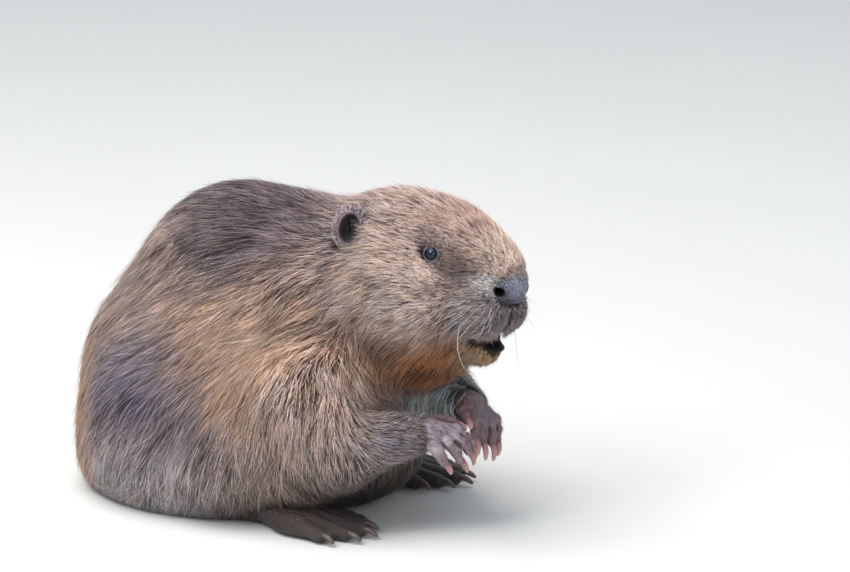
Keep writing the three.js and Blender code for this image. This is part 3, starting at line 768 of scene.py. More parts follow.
HEAD_MARKS = dict(
    crown=((-48, 0, 28), (45, 60, 22), (130, 104, 94), (226, 202, 190), 1.6),
    brow=((8, 10, 26), (42, 32, 20), (100, 74, 66), (172, 145, 134), 1.5),
    cheek=((-8, 62, -45), (46, 26, 36), (116, 96, 87), (220, 200, 190), 1.8),
    bridge=((44, 0, 6), (22, 18, 14), (128, 108, 98), (208, 186, 172), 1.6),
    eye_patch=((2, 38, 6), (13, 10, 8), (52, 42, 46), (128, 110, 110), 3.0),
    ear=((-76, 51, -6), (10, 13, 17), (84, 72, 78), (160, 146, 152), 5.0),
    nose_side=((27, 27, -7), (17, 13, 10), (44, 34, 32), (98, 80, 76), 4.2),
    muzzle=((50, 18, -42), (24, 22, 17), (70, 63, 67), (147, 139, 142), 2.6),
    by_nostril=((50, 20, -13), (7, 6, 5), (170, 160, 158), (232, 226, 222), 5.0),
    chin=((46, 10, -84), (18, 22, 14), (80, 68, 46), (172, 154, 118), 2.4),
    jowl=((-2, 48, -90), (44, 34, 22), (98, 66, 42), (180, 140, 104), 1.6),
)


def markings_and_shade(p):
    """The coat's deep tone and its tips' tone at places on the body, from its markings and the
    painted shade under the arm.
    """
    body = p * np.array((1, 0, 1), np.float32) + np.abs(p * np.array((0, 1, 0), np.float32))
    q = head_places(p)
    q[:, 1] = np.abs(q[:, 1])
    waver = 0.22 * ripple(p, 34, 5)
    total, deep, tips = 1e-6, 0, 0
    for marks, places in ((BODY_MARKS_AND_SHADE, body), (HEAD_MARKS, q)):
        for at, reach, deep_tone, tip_tone, strength in marks.values():
            away = ((places - np.array(at, np.float32)) / np.array(reach, np.float32)) ** 2
            away = np.sqrt(away.sum(1)) + waver
            weight = (strength / (0.35 + away**2) ** 2)[:, None]
            total = total + weight
            deep, tips = deep + weight * tone(*deep_tone), tips + weight * tone(*tip_tone)
    return deep / total, tips / total


NOSE_TONE = tone(114, 117, 130)
# a painted highlight for the middle of the nose pad
NOSE_PAINTED_HIGHLIGHT = tone(162, 170, 190)
LIP_TONE = tone(14, 13, 16)
# painted shade for the insides of the nostrils and of the mouth
PAINTED_SHADE_INSIDE = tone(8, 7, 8)
LID_TONE = tone(120, 128, 142)
EAR_TONE = tone(142, 127, 135)
# painted shade for the hollow of the ear cup
EAR_HOLLOW_PAINTED_SHADE = tone(22, 16, 20)
# the hands' skin is pale partly as a painted sheen on the near (right) hand's back; the far (left)
# hand is painted at half that, as shade
HAND_TONE = tone(184, 166, 174)
HAND_PAINTED_SHADING = {RIGHT: 0.95, LEFT: 0.5}
PINK_TONE = tone(150, 106, 102)
FINGER_END = tone(134, 104, 112)
FOOT_TONE = tone(62, 52, 50)
TAIL_TONE = tone(66, 58, 54)


def blended(colour, other, share):
    share = np.clip(share, 0, 1)[:, None]
    return colour * (1 - share) + other * share


def close(shape, soft):
    """1 inside a shape, falling to 0 over a soft edge outside it."""
    return 1 - np.clip(shape / soft, 0, 1)


def bare_hand(p, side, palm, digit):
    """How far each place is outside the palm and the fingers, each from thick to thin."""
    joints = [j for j, _ in fingers(side)]
    shapes = [limb(p, j[0], j[2], *digit) for j in joints]
    shapes.append(limb(p, ARMS[side][2], np.mean([j[0] for j in joints], 0), *palm))
    return np.min(shapes, 0)


def painted_nose(p, shade):
    q, nose = head_places(p), nose_pad(p) - 0.6
    leather = np.tile(NOSE_TONE, (len(p), 1)) * (1 + 0.16 * ripple(p, 6, 11))[:, None]
    # a painted highlight on the middle of the pad
    leather = blended(leather, NOSE_PAINTED_HIGHLIGHT, close(ball(q, (71, -3, -9), (8, 7, 7)), 7) * 0.85)
    # painted shade along the pad's lower edge
    leather = blended(leather, NOSE_TONE * 0.55, close(q[:, 2] + 26, 8))
    shade = blended(shade, leather, close(nose, 1.2))
    for s in SIDES:
        at, size = NOSTRIL
        hole = ball(p, on_side(at, s), np.array(size) + (6, 0, 0), outward(NOSTRIL_FACES, s))
        # painted shade round each nostril, and deeper painted shade inside it
        shade = blended(shade, NOSE_TONE * 0.55, close(hole, 3.5) * (nose < 2))
        shade = blended(shade, PAINTED_SHADE_INSIDE * 0.5, close(hole, 0.7))
    return shade


def painted_lids(p, shade, side):
    at, axes = on_side(EYE_AT, side), outward(EYE_LOOKS, side)
    ring = ball(p, at, LID_REACH, axes)
    # painted shade over the upper lid, growing darker upward
    from_above = ((p - at) @ axes[2] - 2.0) / 3.5
    lid = blended(np.tile(LID_TONE, (len(p), 1)), LID_TONE * 0.4, from_above)
    rim = ball(p, at + axes[0] * LID_AHEAD, LID_OPENING + 0.5, axes)
    lid = blended(lid, LIP_TONE, close(rim, 0.6))
    # painted light: the skin round the lids is painted paler, to lift the shadow where the fur
    # ends
    shade = blended(shade, tone(*HEAD_MARKS["eye_patch"][3]) * 0.5, close(ring, 4))
    return blended(shade, lid, close(ring, 0.8))


def painted_ear(p, shade, side):
    at, axes = on_side(EAR_AT, side), outward(EAR_FACES, side)
    shade = blended(shade, EAR_TONE, close(ball(p, at, EAR_SIZE + 1.5, axes), 3))
    hollow = ball(p, at + axes[0] * 5, EAR_HOLLOW - 1, axes)
    # painted shade in the hollow of the cup
    return blended(shade, EAR_HOLLOW_PAINTED_SHADE, close(hollow + 0.5, 4))


def painted_hand(p, shade, side):
    joints, ups = zip(*fingers(side))
    up = ups[0]
    # the bare skin, with a painted sheen on the near hand and painted shade on the far one
    skin_tone = HAND_TONE * HAND_PAINTED_SHADING[side] * (1 + 0.12 * ripple(p, 14, 12))[:, None]
    thumb = close(limb(p, joints[0][0], joints[0][2], 6, 6), 4) * 0.8
    pad = close(ball(p, ARMS[side][2] - up * 11 + HEAD[0] * 3, 6), 3)
    skin_tone = blended(skin_tone, PINK_TONE, np.maximum(thumb, pad))
    # painted shade in the grooves between the fingers
    for one, next_to in zip(joints[1:], joints[2:]):
        knuckles, middles, tips = [(a + b) / 2 for a, b in zip(one, next_to)][:3]
        gap = np.minimum(
            limb(p, knuckles + up * 3, middles + up * 2, 0.4, 1.2),
            limb(p, middles + up * 2, tips, 1.2, 2.0),
        )
        skin_tone = blended(skin_tone, HAND_TONE * 0.22, close(gap, 2.4) * 0.85)
    ends = close(np.min([limb(p, j[1], j[2], 5, 6) for j in joints], 0), 4)
    skin_tone = blended(skin_tone, FINGER_END, ends * 0.65)
    return blended(shade, skin_tone, close(bare_hand(p, side, (13, 12), (9, 7)), 3))


def painted_foot(p, shade, side):
    sole = limb(p, HEEL * MIRROR[side], INSTEP * MIRROR[side], 17, 17)
    toes = ball(p, WEB[0] * MIRROR[side], (54, 46, 16))
    return blended(shade, FOOT_TONE, close(np.minimum(sole, toes), 4))


def painted_mouth(p, shade):
    q = head_places(p)
    slot = np.abs(q[:, 2] - MOUTH_AT)
    across = close(np.abs(q[:, 1]) - LIP_HALF, 4) * (q[:, 0] < 75)
    below = (q[:, 2] < MOUTH_AT) * np.clip((q[:, 0] - 50) / 8, 0, 1)
    lips = close(slot - 5.5 - 5 * below, 2.5) * across * close(MOUTH_FROM - 4 - q[:, 0], 3)
    shade = blended(shade, LIP_TONE, lips)
    # painted shade in the slot between the lips
    inside = close(slot - 3.4, 0.8) * (q[:, 0] > MOUTH_FROM - 4) * across
    shade = blended(shade, PAINTED_SHADE_INSIDE, inside)
    return blended(shade, LIP_TONE, close(lip_cleft(p, 1.8, 3.6), 1.6) * 0.8)


def skin_tones(p):
    """The tone of the skin everywhere: underfur with the coat's markings and painted shade, and
    the bare parts with their painted shade and highlights.
    """
    shade = painted_nose(p, markings_and_shade(p)[0] * 0.55)
    for s in SIDES:
        for painted in (painted_lids, painted_ear, painted_hand, painted_foot):
            shade = painted(p, shade, s)
    shade = blended(shade, TAIL_TONE, close(paddle(p) - 3, 6))
    return painted_mouth(p, shade)


points, quads = skinned(hide, SKIN_LOW, SKIN_HIGH, SKIN_STEP)
skin = placed("skin", meshed("skin", points, quads))
furry = skin.vertex_groups.new(name="furry")
bare = bareness(points.astype(np.float32))
furry.add(np.flatnonzero(bare < 0.5).tolist(), 1.0, "REPLACE")
thinning = skin.modifiers.new("decimate", "DECIMATE")
thinning.ratio = KEPT_SHARE
thinning.vertex_group = "furry"
thinning.vertex_group_factor = 1.0
thinned = skin.evaluated_get(bpy.context.evaluated_depsgraph_get())
thinned = bpy.data.meshes.new_from_object(thinned)
skin.modifiers.clear()
unthinned, skin.data = skin.data, thinned
bpy.data.meshes.remove(unthinned)
skin.vertex_groups.clear()
bpy.context.view_layer.objects.active = skin
skin.select_set(True)
bpy.ops.object.mode_set(mode="EDIT")
bpy.ops.mesh.select_all(action="SELECT")
bpy.ops.uv.smart_project(angle_limit=SEAM_ANGLE, island_margin=SEAM_GAP)
bpy.ops.object.mode_set(mode="OBJECT")
skin.data.uv_layers[0].name = "OFBake"

# the eyes, nose, lips, ears and hands are cut finer, then all is drawn to the shape
FINE_PARTS = (
    (on_head(2, 36.5, -3), 12),
    (on_head(2, -36.5, -3), 12),
    (on_head(66, 0, -18), 24),
    (on_head(62, 0, -50), 22),
    (ARMS[RIGHT][2] + np.array((22, 0, -12)), 34),
    (ARMS[LEFT][2] + np.array((12, 0, -14)), 30),
    (on_side(EAR_AT, LEFT), 23),
    (on_side(EAR_AT, RIGHT), 23),
)
cut = bmesh.new()
cut.from_mesh(skin.data)
centres = np.array([((e.verts[0].co + e.verts[1].co) / 2)[:] for e in cut.edges]) / MM - SHIFT
chosen = np.zeros(len(centres), bool)
for at, reach in FINE_PARTS:
    chosen |= within(centres, at, reach)
cut.edges.ensure_lookup_table()
edges = [cut.edges[i] for i in np.flatnonzero(chosen)]
bmesh.ops.subdivide_edges(cut, edges=edges, cuts=1, use_grid_fill=True)
bmesh.ops.triangulate(cut, faces=cut.faces[:])
cut.to_mesh(skin.data)
cut.free()
points, triangles = read(skin.data)
points = settled(hide, points.astype(np.float32))
skin.data.vertices.foreach_set("co", in_frame(points).astype(np.float32).ravel())
skin.data.update()
paint(skin.data, skin_tones(points))
skin.data.shade_smooth()

hide_finish, tree, shader = finish_of("hide", roughness=0.6, specular=0.3)
mottled(tree, shader, own_tone(tree), 900, 3, 0.8, 1.2)
raised(tree, shader, grain(tree, 900, 3, object_place(tree)), 0.0005)
skin.data.materials.clear()
skin.data.materials.append(hide_finish)
# roughness, specular, grains a metre, how much the tone spreads, relief, and whether it is
# creased into cells
BARE_FINISHES = dict(
    nose_leather=(0.42, 0.45, 520, 0.6, 0.0014, True),
    lip_skin=(0.35, 0.14, 900, 0.15, 0.0002, False),
    paw_skin=(0.42, 0.45, 900, 0.25, 0.0003, True),
    ear_skin=(0.6, 0.3, 700, 0.2, 0.0004, False),
    tail_leather=(0.5, 0.4, 170, 0.3, 0.0012, True),
)
CELL_SLOPE = 0.25
for name, (roughness, specular, scale, spread, depth, creased) in BARE_FINISHES.items():
    finish, tree, shader = finish_of(name, roughness, specular)
    place = object_place(tree)
    height = grain(tree, scale, 3, place, 0.4)
    if creased:
        cells = tree.nodes.new("ShaderNodeTexVoronoi")
        cells.feature = "DISTANCE_TO_EDGE"
        cells.inputs["Scale"].default_value = scale
        tree.links.new(place, cells.inputs["Vector"])
        height = span(tree, cells.outputs["Distance"], 0.0, 1.0)
        height.node.inputs["From Max"].default_value = CELL_SLOPE
    shade = times(tree, own_tone(tree), span(tree, height, 1 - spread, 1 + spread / 2))
    wear = span(tree, grain(tree, 160, 4, place, 1.0), 0.6, 1.4)
    tree.links.new(times(tree, shade, wear), shader.inputs["Base Color"])
    raised(tree, shader, height, depth)
    skin.data.materials.append(finish)
faces_at = points[triangles].mean(1).astype(np.float32)
kind = np.zeros(len(faces_at), np.int32)


def finished(where, name):
    kind[where] = 1 + list(BARE_FINISHES).index(name)


finished(nose_pad(faces_at) < 1.2, "nose_leather")
forward, across, above = head_places(faces_at).T
lips = (abs(above - MOUTH_AT + 2) < 10) & (abs(across) < MOUTH_HALF) & (forward > MOUTH_FROM - 2)
finished(lips, "lip_skin")
for s in SIDES:
    finished(bare_hand(faces_at, s, (15, 14), (11, 9)) < 0, "paw_skin")
    finished(ball(faces_at, WEB[0] * MIRROR[s], FOOT_COVER) < 0, "paw_skin")
    cup = ball(faces_at, on_side(EAR_AT, s), EAR_SIZE + 2, outward(EAR_FACES, s))
    finished(cup < 0, "ear_skin")
    finished(ball(faces_at, on_side(EYE_AT, s), LID_REACH + 1.5) < 0, "lip_skin")
finished(paddle(faces_at) < 4, "tail_leather")
skin.data.polygons.foreach_set("material_index", kind)
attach(skin, "root")
own_pieces = ("claw", "eye")
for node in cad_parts:
    if not any(word in node for word in own_pieces):
        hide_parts(node)

# The coat: long coarse guard hairs in flattened locks, rooted in the hide and combed the way
# a beaver's lies, back from the nose, down the cheeks and flanks and out along the arms. It
# is set in nine panels, short and fine on the face and long on the back and sides.

# where, the way the hair runs, its length and the width of a tuft; for the right side
BODY_LIE = [
    ((10, -20, 265), (-0.95, -0.25, -0.15), 34, 0.87),
    ((5, -75, 215), (-0.85, -0.25, -0.45), 38, 0.91),
    ((-80, -60, 190), (-0.66, -0.2, -0.72), 38, 0.95),
    ((-150, -25, 110), (-0.25, 0, -1), 40, 0.99),
    ((-165, -15, 50), (-0.1, 0, -1), 34, 0.99),
    ((20, -95, 150), (-0.62, 0, -0.8), 44, 0.95),
    ((85, -75, 180), (-0.56, -0.2, -0.8), 42, 0.95),
    ((60, -95, 85), (-0.3, 0, -1), 46, 0.99),
    ((60, -110, 35), (-0.1, 0.1, -1), 38, 0.99),
    ((-60, -105, 135), (-0.85, 0, -0.5), 38, 0.95),
    ((-45, -125, 90), (-0.5, 0, -0.85), 36, 0.95),
    ((-15, -125, 40), (-0.25, 0, -1), 38, 0.99),
    ((-120, -80, 60), (-0.45, 0, -1), 38, 0.99),
    ((130, -55, 170), (-0.5, -0.1, -0.85), 38, 0.87),
    ((120, -60, 225), (-0.85, -0.2, -0.5), 32, 0.84),
    ((120, -10, 262), (-0.98, -0.1, 0.05), 30, 0.84),
    ((185, -25, 150), (-0.6, 0, -0.8), 30, 0.76),
    ((160, 0, 115), (-0.15, 0, -1), 28, 0.76),
    ((110, -10, 50), (-0.5, 0, -0.8), 26, 0.84),
    ((0, 0, 5), (-1, 0, 0), 20, 0.91),
    ((100, -85, 118), (-0.25, -0.05, -1), 36, 0.9),
    ((118, -98, 66), (0.2, 0, -1), 24, 0.8),
    ((150, -72, 82), (0.95, 0.25, -0.1), 15, 0.75),
    ((178, -52, 88), (0.8, 0.6, -0.1), 7, 0.6),
    ((-125, 0, 20), (-0.6, 0, -0.6), 20, 0.84),
    ((85, -86, 22), (0.5, 0, -0.8), 12, 0.9),
]
HEAD_LIE = [
    ((62, 0, 2), (-1, 0, 0.24), 5, 0.32),
    ((46, 0, 14), (-1, 0, 0.20), 9, 0.40),
    ((12, -14, 31), (-1, -0.15, 0.04), 16, 0.52),
    ((-50, 0, 30), (-1, 0, -0.05), 24, 0.72),
    ((-45, -45, 5), (-1, -0.2, -0.2), 18, 0.64),
    ((-60, -46, -2), (-0.8, -0.3, -0.5), 7, 0.46),
    ((-60, -42, 14), (-0.9, -0.1, 0.3), 9, 0.5),
    ((-62, -52, -22), (-0.7, -0.1, -0.8), 12, 0.56),
    ((2, -38, -2), (-0.95, -0.15, -0.15), 3.5, 0.34),
    ((13, -34, -3), (-0.95, -0.2, 0.0), 3.5, 0.34),
    ((-14, -42, 0), (-0.95, -0.2, -0.15), 9, 0.44),
    ((28, -26, -10), (-0.95, -0.3, -0.1), 6, 0.40),
    ((50, -20, -16), (-0.8, -0.5, 0.08), 3.5, 0.32),
    ((62, -18, -38), (-0.5, -0.8, -0.5), 5.5, 0.32),
    ((50, -32, -42), (-0.7, -0.3, -0.65), 8, 0.36),
    ((66, -7, -48), (-0.1, -0.35, -0.9), 6, 0.32),
    ((66, -2, -40), (0.0, -0.1, -1), 3.5, 0.3),
    ((30, -42, -50), (-0.8, -0.15, -0.65), 16, 0.48),
    ((0, -62, -45), (-0.85, -0.05, -0.5), 22, 0.64),
    ((-40, -60, -45), (-0.8, -0.1, -0.6), 30, 0.80),
    ((0, -55, -80), (-0.75, 0.1, -0.65), 26, 0.72),
    ((20, -30, -95), (-0.8, 0.1, -0.6), 20, 0.64),
    ((48, -14, -92), (-0.6, 0, -0.75), 15, 0.48),
    ((60, -8, -78), (-0.3, -0.2, -0.95), 9, 0.38),
]
places, ways, cuts = [], [], []
for side in SIDES:
    flip = MIRROR[-side]
    for at, way, length, width in BODY_LIE:
        places.append(at * flip)
        ways.append(way * flip)
        cuts.append((length, width))
    for at, way, length, width in HEAD_LIE:
        places.append(on_head(*(at * flip)))
        ways.append((way * flip) @ HEAD)
        cuts.append((length, width))
LIE_PLACES = np.array(places, np.float32)
LIE_WAYS = np.array([unit(w) for w in ways], np.float32)
LIE_CUTS = np.array(cuts, np.float32)
LIE_AT_ONCE = 40000
LIE_SOFTNESS = 90


def lie(p):
    """The way the hair runs at places on the body, and its length and width there."""
    way, cut_to = [], []
    for q in np.array_split(p, max(1, len(p) // LIE_AT_ONCE)):
        apart = ((q[:, None] - LIE_PLACES) ** 2).sum(2)
        weight = 1 / (apart + LIE_SOFTNESS) ** 2
        weight /= weight.sum(1)[:, None]
        way.append(weight @ LIE_WAYS)
        cut_to.append(weight @ LIE_CUTS)
    return np.concatenate(way), np.concatenate(cut_to)


def flat_to(way, out):
    """A way laid flat along the surface that faces out."""
    return unit_rows(way - (way * out).sum(1)[:, None] * out)


points, triangles = read(skin.data)
a, b, c = (points[triangles[:, i]] for i in range(3))
middle = (a + b + c) / 3
middle_single = middle.astype(np.float32)
area = np.linalg.norm(np.cross(b - a, c - a), axis=1) / 2
tri_uv = np.empty(len(skin.data.loops) * 2, np.float32)
skin.data.uv_layers["OFBake"].data.foreach_get("uv", tri_uv)
loops = np.empty(len(skin.data.loop_triangles) * 3, np.int32)
skin.data.loop_triangles.foreach_get("loops", loops)
tri_uv = tri_uv.reshape(-1, 2)[loops.reshape(-1, 3)]
FACE_FROM, FACE_FOOT = -2, -110
ON_FLOOR = 3
q = head_places(middle)
skull = [ball(middle, on_head(*at), size, HEAD) for at, size, _ in SKULL]
jaw = limb(middle, on_head(*JAW[0]), on_head(*JAW[1]), *JAW[2:])
is_head = soften(join(BLEND["skull"], *skull), jaw, BLEND["skull"]) < -0.5
is_face = is_head & (q[:, 0] > FACE_FROM) & (q[:, 2] > FACE_FOOT)
forearms = np.minimum(*[limb(middle, ARMS[s][1], ARMS[s][2], 26, 18) for s in SIDES])
is_arm = (forearms < 0) & ~is_head
low = middle[:, 2] < ON_FLOOR


def bald(p):
    """1 where no fur is rooted: on nose, lids, lips, ears, hands, feet and tail, else 0."""
    q = head_places(p)
    mouth = np.maximum(np.abs(q[:, 2] - MOUTH_AT + 2.0) - 4.2, np.abs(q[:, 1]) - MOUTH_HALF)
    shapes = [
        ball(p, on_head(62, 0, -15.5), (14.0, 17.5, 14.0), HEAD),
        np.maximum(mouth, MOUTH_FROM - q[:, 0]),
        lip_cleft(p, 2.2, 4.0),
        ball(p, on_head(66, 0, -68), (9, 11, 4.5), HEAD),
        paddle(p) - 3,
    ]
    for s in SIDES:
        before_ear = on_head(EAR_AT[0] + 13, s * (EAR_AT[1] + 1), EAR_AT[2] - 1)
        shapes += [
            ball(p, on_side(EYE_AT, s), LID_REACH - 0.1),
            ball(p, on_head(EYE_AT[0] + 2.2, s * EYE_AT[1], EYE_AT[2]), LID_REACH),
            ball(p, on_side(EAR_AT, s), EAR_SIZE + 1, outward(EAR_FACES, s)),
            ball(p, before_ear, (12, 10, 14), HEAD),
            ball(p, WEB[0] * MIRROR[s], FOOT_COVER),
            bare_hand(p, s, (14, 16), (9, 8)),
        ]
    return np.clip(1 - np.min(shapes, 0), 0, 1)


open_skin = 1 - bald(middle_single)
x, y = middle[:, 0], middle[:, 1]
is_body = ~is_head & ~is_arm
PANELS = dict(
    coat_face_right=(is_face & (q[:, 1] < 0), 33000),
    coat_face_left=(is_face & (q[:, 1] >= 0), 21000),
    coat_head=(is_head & ~is_face, 32600),
    coat_arms=(is_arm, 13000),
    coat_front=(is_body & (x > 80), 33000),
    coat_right_front=(is_body & (abs(x - 20) <= 60) & (y < -25), 33000),
    coat_right_rear=(is_body & (x < -40) & (y < -25), 30000),
    coat_left=(is_body & (x <= 80) & (y > 25), 26000),
    coat_back=(is_body & (x <= 80) & (abs(y) <= 25), 16500),
)
coat_finish, tree, shader = finish_of("guard_hair", roughness=0.5, specular=0.35, sheen=0.1)
mottled(tree, shader, own_tone(tree), 700, 2, 0.85, 1.15)

# a tuft has a root, three corners round its widest stop, and a tip
STOPS = (0, 0.42, 1)
ROUND = [(1 + i, 1 + (i + 1) % 3) for i in range(3)]
TUFT_FACES = np.array([(0, b, a) for a, b in ROUND] + [(a, b, 4) for a, b in ROUND])
TUFT_UV = np.array([(0, -0.5), *[(i / 2 - 0.5, STOPS[1] - 0.5) for i in range(3)], (0, 0.5)])
PATCH = 0.003

# lengths in millimetres and what they bring: the share of the stated width, how far a tip
# lifts for its length, and how far a stray tuft stands clear
WIDTH_BY_LENGTH = ((5, 25), (0.95, 0.76))
LIFT_BY_LENGTH = ((3.5, 5, 8, 16, 34), (0.05, 0.22, 0.2, 0.12, 0.05))
CLEAR_BY_LENGTH = ((3.5, 8, 20), (0.25, 0.85, 1.1))
LONG_BY_LENGTH = ((9, 22), (0, 1))
LOCK_SHARE, LOCK_LEAST, LOCK_MOST = 0.24, 1.6, 9.5
SWAY_SPAN = 42
SWAY, LOCK_SWAY, OWN_SWAY = 0.16, 0.11, 0.13
STRAYS, STRAY_LENGTH, STRAY_WIDTH = 0.12, 1.3, 0.8
STRAY_CLEAR = (0.6, 4.6)
PULL = (0.2, 0.65)
ROOTED = 0.6

# the share of tufts that are dark, how wide their patches are, and how light each part of a
# tuft is against the deep tone and tip tone of the markings and painted shade
DARKS, DARK_SPAN = 0.32, 16
PALEST = 0.96
ROOT_DEEP = 0.35
DARK_STEM, STEM = 0.55, (0.6, 0.72)
DARK_END, END = (0.75, 0.08), 1.8


def panel(name, chosen, count, seed, surface=furred, combed=lie):
    """One panel of the coat: so many tufts rooted on the chosen triangles of the skin."""
    draw = np.random.default_rng(seed)
    if surface is furred:
        chosen = chosen & (open_skin > 0.5)
    chosen = np.flatnonzero(chosen & ~low)
    share = area[chosen] * np.maximum(open_skin[chosen], 0.5)
    _, cut_to = combed(middle[chosen])
    share *= (30 / (cut_to[:, 0] + 6)) ** 0.8
    pick = chosen[draw.choice(len(chosen), count, p=share / share.sum())]
    u, v = draw.random((2, count))
    over = u + v > 1
    u[over], v[over] = 1 - u[over], 1 - v[over]
    mix = np.stack([1 - u - v, u, v], 1)
    root = (points[triangles[pick]] * mix[:, :, None]).sum(1).astype(np.float32)
    patch = (tri_uv[pick] * mix[:, :, None]).sum(1)
    out = steepest(lambda x: surface(x)[0], root)
    way, cut_to = combed(root)
    length, width = cut_to.T
    width = width * np.interp(length, *WIDTH_BY_LENGTH)

    # locks: hair near the same middle leans together and ends close together
    lock_size = np.clip(length * LOCK_SHARE, LOCK_LEAST, LOCK_MOST)
    thickness = count / area[chosen].sum()
    leads = draw.random(count) < np.clip(1.6 / (thickness * lock_size**2), 0.02, 0.5)
    heads = np.flatnonzero(leads)
    tree_of_locks = KDTree(len(heads))
    for i, j in enumerate(heads):
        tree_of_locks.insert(root[j], i)
    tree_of_locks.balance()
    lock = np.array([heads[tree_of_locks.find(r)[1]] for r in root])

    sway = np.stack([ripple(root, SWAY_SPAN, seed * 3 + k) for k in range(3)], 1) * SWAY
    lock_sway = draw.normal(size=(count, 3))[lock] * LOCK_SWAY
    own_sway = draw.normal(size=(count, 3)) * OWN_SWAY
    way = flat_to(unit_rows(way) + sway + lock_sway + own_sway, out)
    length = length * np.clip(draw.normal(1, 0.16, count), 0.55, 1.5)
    length = length * (1 + 0.12 * draw.normal(size=count)[lock])
    layer = draw.random(count) ** 0.8
    stray = draw.random(count) < STRAYS
    rise = 0.35 + 0.6 * layer
    over_tip = np.where(stray, draw.uniform(*STRAY_CLEAR, count), 0)
    over_tip = over_tip * np.interp(length, *CLEAR_BY_LENGTH)
    length = np.where(stray, length * STRAY_LENGTH, length)
    offset = root - root[lock]
    offset -= (offset * way).sum(1)[:, None] * way
    offset *= np.minimum(1, lock_size * 1.2 / (np.sqrt((offset**2).sum(1)) + 1e-6))[:, None]
    pull = draw.uniform(*PULL, count)[lock]

    # each tuft grows from its root along the lie, rising through the coat towards its tip
    lift = np.interp(length, *LIFT_BY_LENGTH)
    line, outs = [root - out * ROOTED], [out]
    here, run = root.copy(), way
    for before, t in zip(STOPS, STOPS[1:]):
        here = here + run * (length * (t - before))[:, None]
        here = here - offset * (pull * (t**1.5 - before**1.5))[:, None]
        skin_at, tip_at = surface(here)
        out_here = steepest(lambda x: surface(x)[0], here)
        deep = np.maximum(skin_at - tip_at, 0.5)
        want = deep * (rise * min(1, t / 0.3) ** 0.7 + (1 - rise) * 0.8 * t * layer)
        want = want + (over_tip + length * lift) * t * t
        here = here + out_here * np.clip(want - skin_at, -20, 20)[:, None]
        here[:, 2] = np.maximum(here[:, 2], 0.6 + 0.8 * layer)
        line.append(here)
        outs.append(out_here)
        run = flat_to(unit_rows(combed(here)[0]) + sway + lock_sway + own_sway, out_here)
    root_end, widest, tip = line
    ahead = unit_rows(tip - root_end)
    across = unit_rows(np.cross(ahead, outs[1]))
    up = np.cross(across, ahead)
    half = width * draw.uniform(0.7, 1.3, count) * np.where(stray, STRAY_WIDTH, 1)
    half = (half * 0.5)[:, None]
    corners = widest - across * half, widest + up * half * 0.8, widest + across * half
    verts = np.stack([root_end, *corners, tip], 1)
    verts[:, :, 2] = np.maximum(verts[:, :, 2], 0.1)

    # some tufts are dark to the tip, and the long ones differ most from their neighbours
    deep_tone, tip_tone = markings_and_shade(root)
    long = np.interp(length, *LONG_BY_LENGTH)
    lock_dark = (0.16 + 0.06 * long) * draw.normal(size=count)[lock]
    dark = (draw.random(count) < DARKS + 0.14 * ripple(root, DARK_SPAN, 77) + lock_dark)[:, None]
    bright = 1 + (0.26 + 0.12 * long) * draw.normal(size=count)
    bright = bright + (0.17 + 0.08 * long) * draw.normal(size=count)[lock]
    bright = (np.clip(bright, 0.38, 1.9) * np.where(stray, 1.25 + 0.2 * long, 1))[:, None]
    warm = (draw.normal(size=count) * 0.05 + draw.normal(size=count)[lock] * 0.04)[:, None]
    tint = np.concatenate([1 + warm, np.ones_like(warm), 1 - warm * 1.5], 1) * bright
    dark_end = deep_tone * DARK_END[0] + tip_tone * DARK_END[1]
    ends = np.where(dark, dark_end, tip_tone * END) * tint
    stem = np.where(dark, deep_tone * DARK_STEM, deep_tone * STEM[0] + tip_tone * STEM[1]) * tint
    tones = np.stack([deep_tone * ROOT_DEEP, stem, stem, stem, ends], 1)
    tones *= PALEST / np.maximum(tones.max(2, keepdims=True), PALEST)

    faces = (TUFT_FACES[None] + 5 * np.arange(count)[:, None, None]).reshape(-1, 3)
    mesh = meshed(name, verts.reshape(-1, 3), faces)
    paint(mesh, tones.reshape(-1, 3))
    spot = np.clip(patch, PATCH, 1 - PATCH)[:, None] + TUFT_UV * PATCH
    unwrap = mesh.uv_layers.new(name="OFBake")
    unwrap.data.foreach_set("uv", spot.reshape(-1, 2)[faces.ravel()].astype(np.float32).ravel())
    mesh.materials.append(coat_finish)
    piece = placed(name, mesh)
    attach(piece, "root")


for seed, (name, (chosen, count)) in enumerate(PANELS.items(), 20):
    panel(name, chosen, count, seed)

# Down: thin short hair on the ears, on the brows over the eyes, above the nose, and sparse on
# the backs of the hands and the feet. It lies on the bare skin itself.
DOWN_DEPTH = 1.1


def on_hide(p):
    d = hide(p)
    return d, d - DOWN_DEPTH


def side_of(p):
    return np.where((p - HEAD_AT) @ HEAD[1] > 0, LEFT, RIGHT)[:, None]


def off_ear(p):
    side = side_of(p)
    at = HEAD_AT + EAR_AT[0] * HEAD[0] + side * EAR_AT[1] * HEAD[1] + EAR_AT[2] * HEAD[2]
    way = unit_rows(p - at) * 0.9 + HEAD[2] * 0.5 - HEAD[0] * 0.5 + side * HEAD[1] * 0.2
    return unit_rows(way).astype(np.float32)


def over_brow(p):
    way = -HEAD[0] * 0.95 + side_of(p) * HEAD[1] * 0.3 - HEAD[2] * 0.1
    return unit_rows(way).astype(np.float32)


def up_nose(p):
    way = -HEAD[0] * 0.7 + HEAD[2] * 0.6 + np.sign(head_places(p)[:, 1:2]) * HEAD[1] * 0.4
    return unit_rows(way).astype(np.float32)


def along_fingers(p):
    way = np.empty_like(p)
    for s in SIDES:
        joints = [j for j, _ in fingers(s)]
        over = unit(np.mean([j[0] + j[2] for j in joints], 0) / 2 - ARMS[s][2])
        way[p[:, 1] > 0 if s == LEFT else p[:, 1] <= 0] = over
    way[p[:, 2] < 45] = (1, 0, -0.2)
    return way


